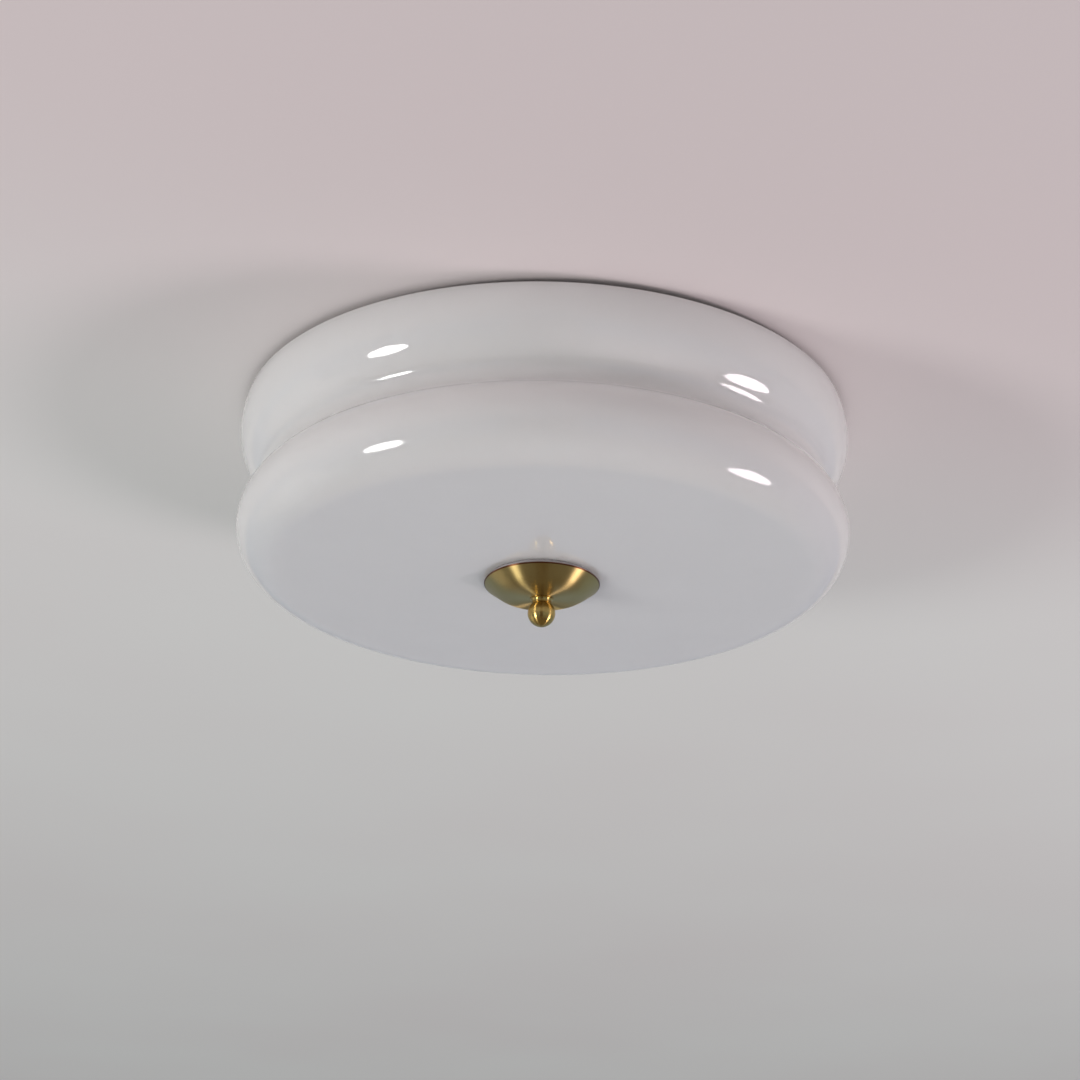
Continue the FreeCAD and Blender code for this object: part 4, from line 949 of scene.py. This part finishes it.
def painted_ceiling(paint):
    """Pale emulsion with a faint roller texture. Its far side is tinted cooler and lighter as painted
    light, standing in for how the room's light falls across it. It shows only from below.
    """
    finish = Finish("painted_ceiling", paint, 0.85)
    across = finish.node("ShaderNodeVectorMath", operation="DOT_PRODUCT")
    finish.feed(across.inputs[0], finish.place)
    finish.feed(across.inputs[1], FAR_DIRECTION)
    # Painted light: a colour gradient across the ceiling in place of the uneven light of the room.
    painted_light_farther = finish.between(across.outputs["Value"], 0.0, 1.0, FAR_START, FAR_END)
    finish.tint(painted_light_farther, FAR_CEILING_PAINTED_LIGHT)
    finish.tint(finish.between(finish.noise(1.1, detail=3.0), 0.0, 0.3), tuple(c * 0.96 for c in paint))
    finish.relief(finish.noise(260.0, detail=3.0), 0.0003, 0.12)
    clear = finish.node("ShaderNodeBsdfTransparent")
    side = finish.node("ShaderNodeNewGeometry")
    mixed = finish.node("ShaderNodeMixShader")
    output = finish.nodes["Material Output"]
    finish.feed(mixed.inputs["Fac"], side.outputs["Backfacing"])
    finish.feed(mixed.inputs[1], finish.shader.outputs["BSDF"])
    finish.feed(mixed.inputs[2], clear.outputs["BSDF"])
    finish.feed(output.inputs["Surface"], mixed.outputs["Shader"])
    return finish.material


def studio_card(name, paint, size, place, facing):
    """A plain card that the brass reflects. The camera doesn't see it."""
    card = bmesh.new()
    bmesh.ops.create_grid(card, x_segments=1, y_segments=1, size=0.5)
    bmesh.ops.scale(card, vec=(size[0], size[1], 1.0), verts=card.verts)
    turn = Vector(facing).to_track_quat("Z", "Y").to_matrix()
    bmesh.ops.transform(card, matrix=Matrix.Translation(place) @ turn.to_4x4(), verts=card.verts)
    mesh = bpy.data.meshes.new(name)
    card.to_mesh(mesh)
    card.free()
    shown = bpy.data.objects.new(name, mesh)
    bpy.context.scene.collection.objects.link(shown)
    finish = Finish(name, paint, 0.9)
    finish.tint(finish.between(finish.noise(0.9), 0.0, 0.5), tuple(c * 0.7 for c in paint))
    mesh.materials.append(finish.material)
    shown.visible_camera = False
    shown.visible_diffuse = False
    shown.visible_shadow = False


def soft_lamp(name, tint, power, azimuth, drop, size):
    """An oval lamp that faces the shade. Azimuth counts from the camera's side, drop from the level."""
    lamp = bpy.data.lights.new(name, "AREA")
    lamp.shape = "ELLIPSE"
    lamp.size, lamp.size_y = size
    lamp.color = tint
    lamp.energy = power
    shown = bpy.data.objects.new(name, lamp)
    aim = Vector((0.0, 0.0, (glass_low.z + glass_high.z) / 2))
    level = math.cos(drop)
    direction = Vector((math.sin(azimuth) * level, -math.cos(azimuth) * level, -math.sin(drop)))
    shown.location = aim + direction * LAMP_DISTANCE
    shown.rotation_euler = (-direction).to_track_quat("-Z", "Y").to_euler()
    bpy.context.scene.collection.objects.link(shown)


class CEILINGLIGHT_OT_add_stage(bpy.types.Operator):
    """Adds the plain ceiling, the studio lamps, the surround and the camera"""

    bl_idname = "ceiling_light.add_stage"
    bl_label = "Add Stage"

    def execute(self, context):
        stage = context.scene.ceiling_light_stage
        self.add_ceiling(stage)
        studio_card("near_card", **NEAR_CARD)
        studio_card("left_card", **LEFT_CARD)
        left = (stage.left_power, stage.left_azimuth, stage.left_drop)
        right = (stage.right_power, stage.right_azimuth, stage.right_drop)
        soft_lamp("left_lamp", LEFT_TINT, *left, LEFT_SIZE)
        soft_lamp("right_lamp", RIGHT_TINT, *right, RIGHT_SIZE)
        self.add_surround(context, stage)
        self.add_camera(context, stage)
        context.scene.view_settings.view_transform = "Standard"
        return {"FINISHED"}

    def add_ceiling(self, stage):
        """A wide disc just above the light. A hole over the pan lets light into it from above."""
        sheet = bmesh.new()
        hole = pan_high.x - stage.ceiling_lap
        inner = bmesh.ops.create_circle(sheet, segments=CEILING_SEGMENTS, radius=hole)["verts"]
        grown = bmesh.ops.extrude_edge_only(sheet, edges=sheet.edges[:])["geom"]
        rim = [v for v in grown if isinstance(v, bmesh.types.BMVert)]
        reach = stage.ceiling_reach / inner[0].co.length
        bmesh.ops.scale(sheet, vec=(reach, reach, 1.0), verts=rim)
        height = cad_box[1].z + stage.ceiling_gap
        bmesh.ops.translate(sheet, vec=(0.0, 0.0, height), verts=sheet.verts)
        for face in sheet.faces:
            face.normal_update()
            if face.normal.z > 0:
                face.normal_flip()
        mesh = bpy.data.meshes.new("ceiling")
        sheet.to_mesh(mesh)
        sheet.free()
        shown = bpy.data.objects.new("ceiling", mesh)
        bpy.context.scene.collection.objects.link(shown)
        mesh.materials.append(painted_ceiling(stage.ceiling))

    def add_surround(self, context, stage):
        """Soft light from all round, less of it from below, and dimmer where it is mirrored."""
        world = bpy.data.worlds.new("surround")
        world.use_nodes = True
        nodes = world.node_tree.nodes
        links = world.node_tree.links
        even = nodes["Background"]
        even.inputs["Color"].default_value = (*SURROUND_TINT, 1.0)
        view = nodes.new("ShaderNodeTexCoord")
        height = nodes.new("ShaderNodeSeparateXYZ")
        glow = nodes.new("ShaderNodeMapRange")
        glow.inputs["From Min"].default_value = -1.0
        glow.inputs["From Max"].default_value = 0.0
        glow.inputs["To Min"].default_value = stage.floor_light
        glow.inputs["To Max"].default_value = stage.wall_light
        links.new(view.outputs["Generated"], height.inputs["Vector"])
        links.new(height.outputs["Z"], glow.inputs["Value"])
        links.new(glow.outputs["Result"], even.inputs["Strength"])
        mirrored = nodes.new("ShaderNodeBackground")
        rise = nodes.new("ShaderNodeMapRange")
        rise.interpolation_type = "SMOOTHSTEP"
        rise.inputs["From Min"].default_value = MIRRORED_FLOOR_TOP
        rise.inputs["From Max"].default_value = MIRRORED_WALL_FOOT
        shade = nodes.new("ShaderNodeMix")
        shade.data_type = "RGBA"
        shade.inputs["A"].default_value = (*stage.mirrored_floor, 1.0)
        shade.inputs["B"].default_value = (*stage.mirrored_wall, 1.0)
        links.new(height.outputs["Z"], rise.inputs["Value"])
        links.new(rise.outputs["Result"], shade.inputs["Factor"])
        links.new(shade.outputs["Result"], mirrored.inputs["Color"])
        mixed = nodes.new("ShaderNodeMixShader")
        ray = nodes.new("ShaderNodeLightPath")
        links.new(ray.outputs["Is Glossy Ray"], mixed.inputs["Fac"])
        links.new(even.outputs["Background"], mixed.inputs[1])
        links.new(mirrored.outputs["Background"], mixed.inputs[2])
        links.new(mixed.outputs["Shader"], nodes["World Output"].inputs["Surface"])
        context.scene.world = world

    def add_camera(self, context, stage):
        """The photograph's view: from below the ceiling, looking up, almost square to the light."""
        lens = bpy.data.cameras.new("camera")
        lens.lens = stage.lens
        lens.sensor_width = 36.0
        lens.clip_start = 0.05
        lens.clip_end = 60.0
        camera = bpy.data.objects.new("camera", lens)
        turn = (
            Matrix.Rotation(CAMERA_YAW, 4, "Z")
            @ Matrix.Rotation(math.pi / 2 + CAMERA_PITCH, 4, "X")
            @ Matrix.Rotation(CAMERA_ROLL, 4, "Z")
        )
        camera.matrix_world = Matrix.Translation((0.0, -stage.camera_distance, -stage.camera_drop)) @ turn
        context.scene.collection.objects.link(camera)
        context.scene.camera = camera


OPERATORS = (
    CEILINGLIGHT_OT_add_glass_shade,
    CEILINGLIGHT_OT_add_dish,
    CEILINGLIGHT_OT_add_knob,
    CEILINGLIGHT_OT_add_hanging_rod,
    CEILINGLIGHT_OT_add_bulb_caps,
    CEILINGLIGHT_OT_finish_hardware,
    CEILINGLIGHT_OT_add_stage,
)

SETTINGS = {
    "ceiling_light_glass": CeilingLightGlass,
    "ceiling_light_brass": CeilingLightBrass,
    "ceiling_light_threads": CeilingLightThreads,
    "ceiling_light_stage": CeilingLightStage,
}


class CEILINGLIGHT_PT_panel(bpy.types.Panel):
    """Lists the steps and the settings of the ceiling light"""

    bl_idname = "CEILINGLIGHT_PT_panel"
    bl_label = "Ceiling Light"
    bl_space_type = "VIEW_3D"
    bl_region_type = "UI"
    bl_category = "Ceiling Light"

    def draw(self, context):
        for operator in OPERATORS:
            self.layout.operator(operator.bl_idname)
        for name in SETTINGS:
            settings = getattr(context.scene, name)
            box = self.layout.box()
            for prop in settings.bl_rna.properties:
                if not prop.is_readonly and prop.identifier != "name":
                    box.prop(settings, prop.identifier)


def register():
    for name, group in SETTINGS.items():
        bpy.utils.register_class(group)
        setattr(bpy.types.Scene, name, bpy.props.PointerProperty(type=group))
    for operator in OPERATORS:
        bpy.utils.register_class(operator)
    bpy.utils.register_class(CEILINGLIGHT_PT_panel)


def unregister():
    bpy.utils.unregister_class(CEILINGLIGHT_PT_panel)
    for operator in reversed(OPERATORS):
        bpy.utils.unregister_class(operator)
    for name, group in SETTINGS.items():
        delattr(bpy.types.Scene, name)
        bpy.utils.unregister_class(group)


def main():
    register()
    bpy.ops.ceiling_light.add_glass_shade()
    bpy.ops.ceiling_light.add_dish()
    bpy.ops.ceiling_light.add_knob()
    bpy.ops.ceiling_light.add_hanging_rod()
    bpy.ops.ceiling_light.add_bulb_caps()
    bpy.ops.ceiling_light.finish_hardware()
    bpy.ops.ceiling_light.add_stage()


if __name__ == "__main__":
    main()
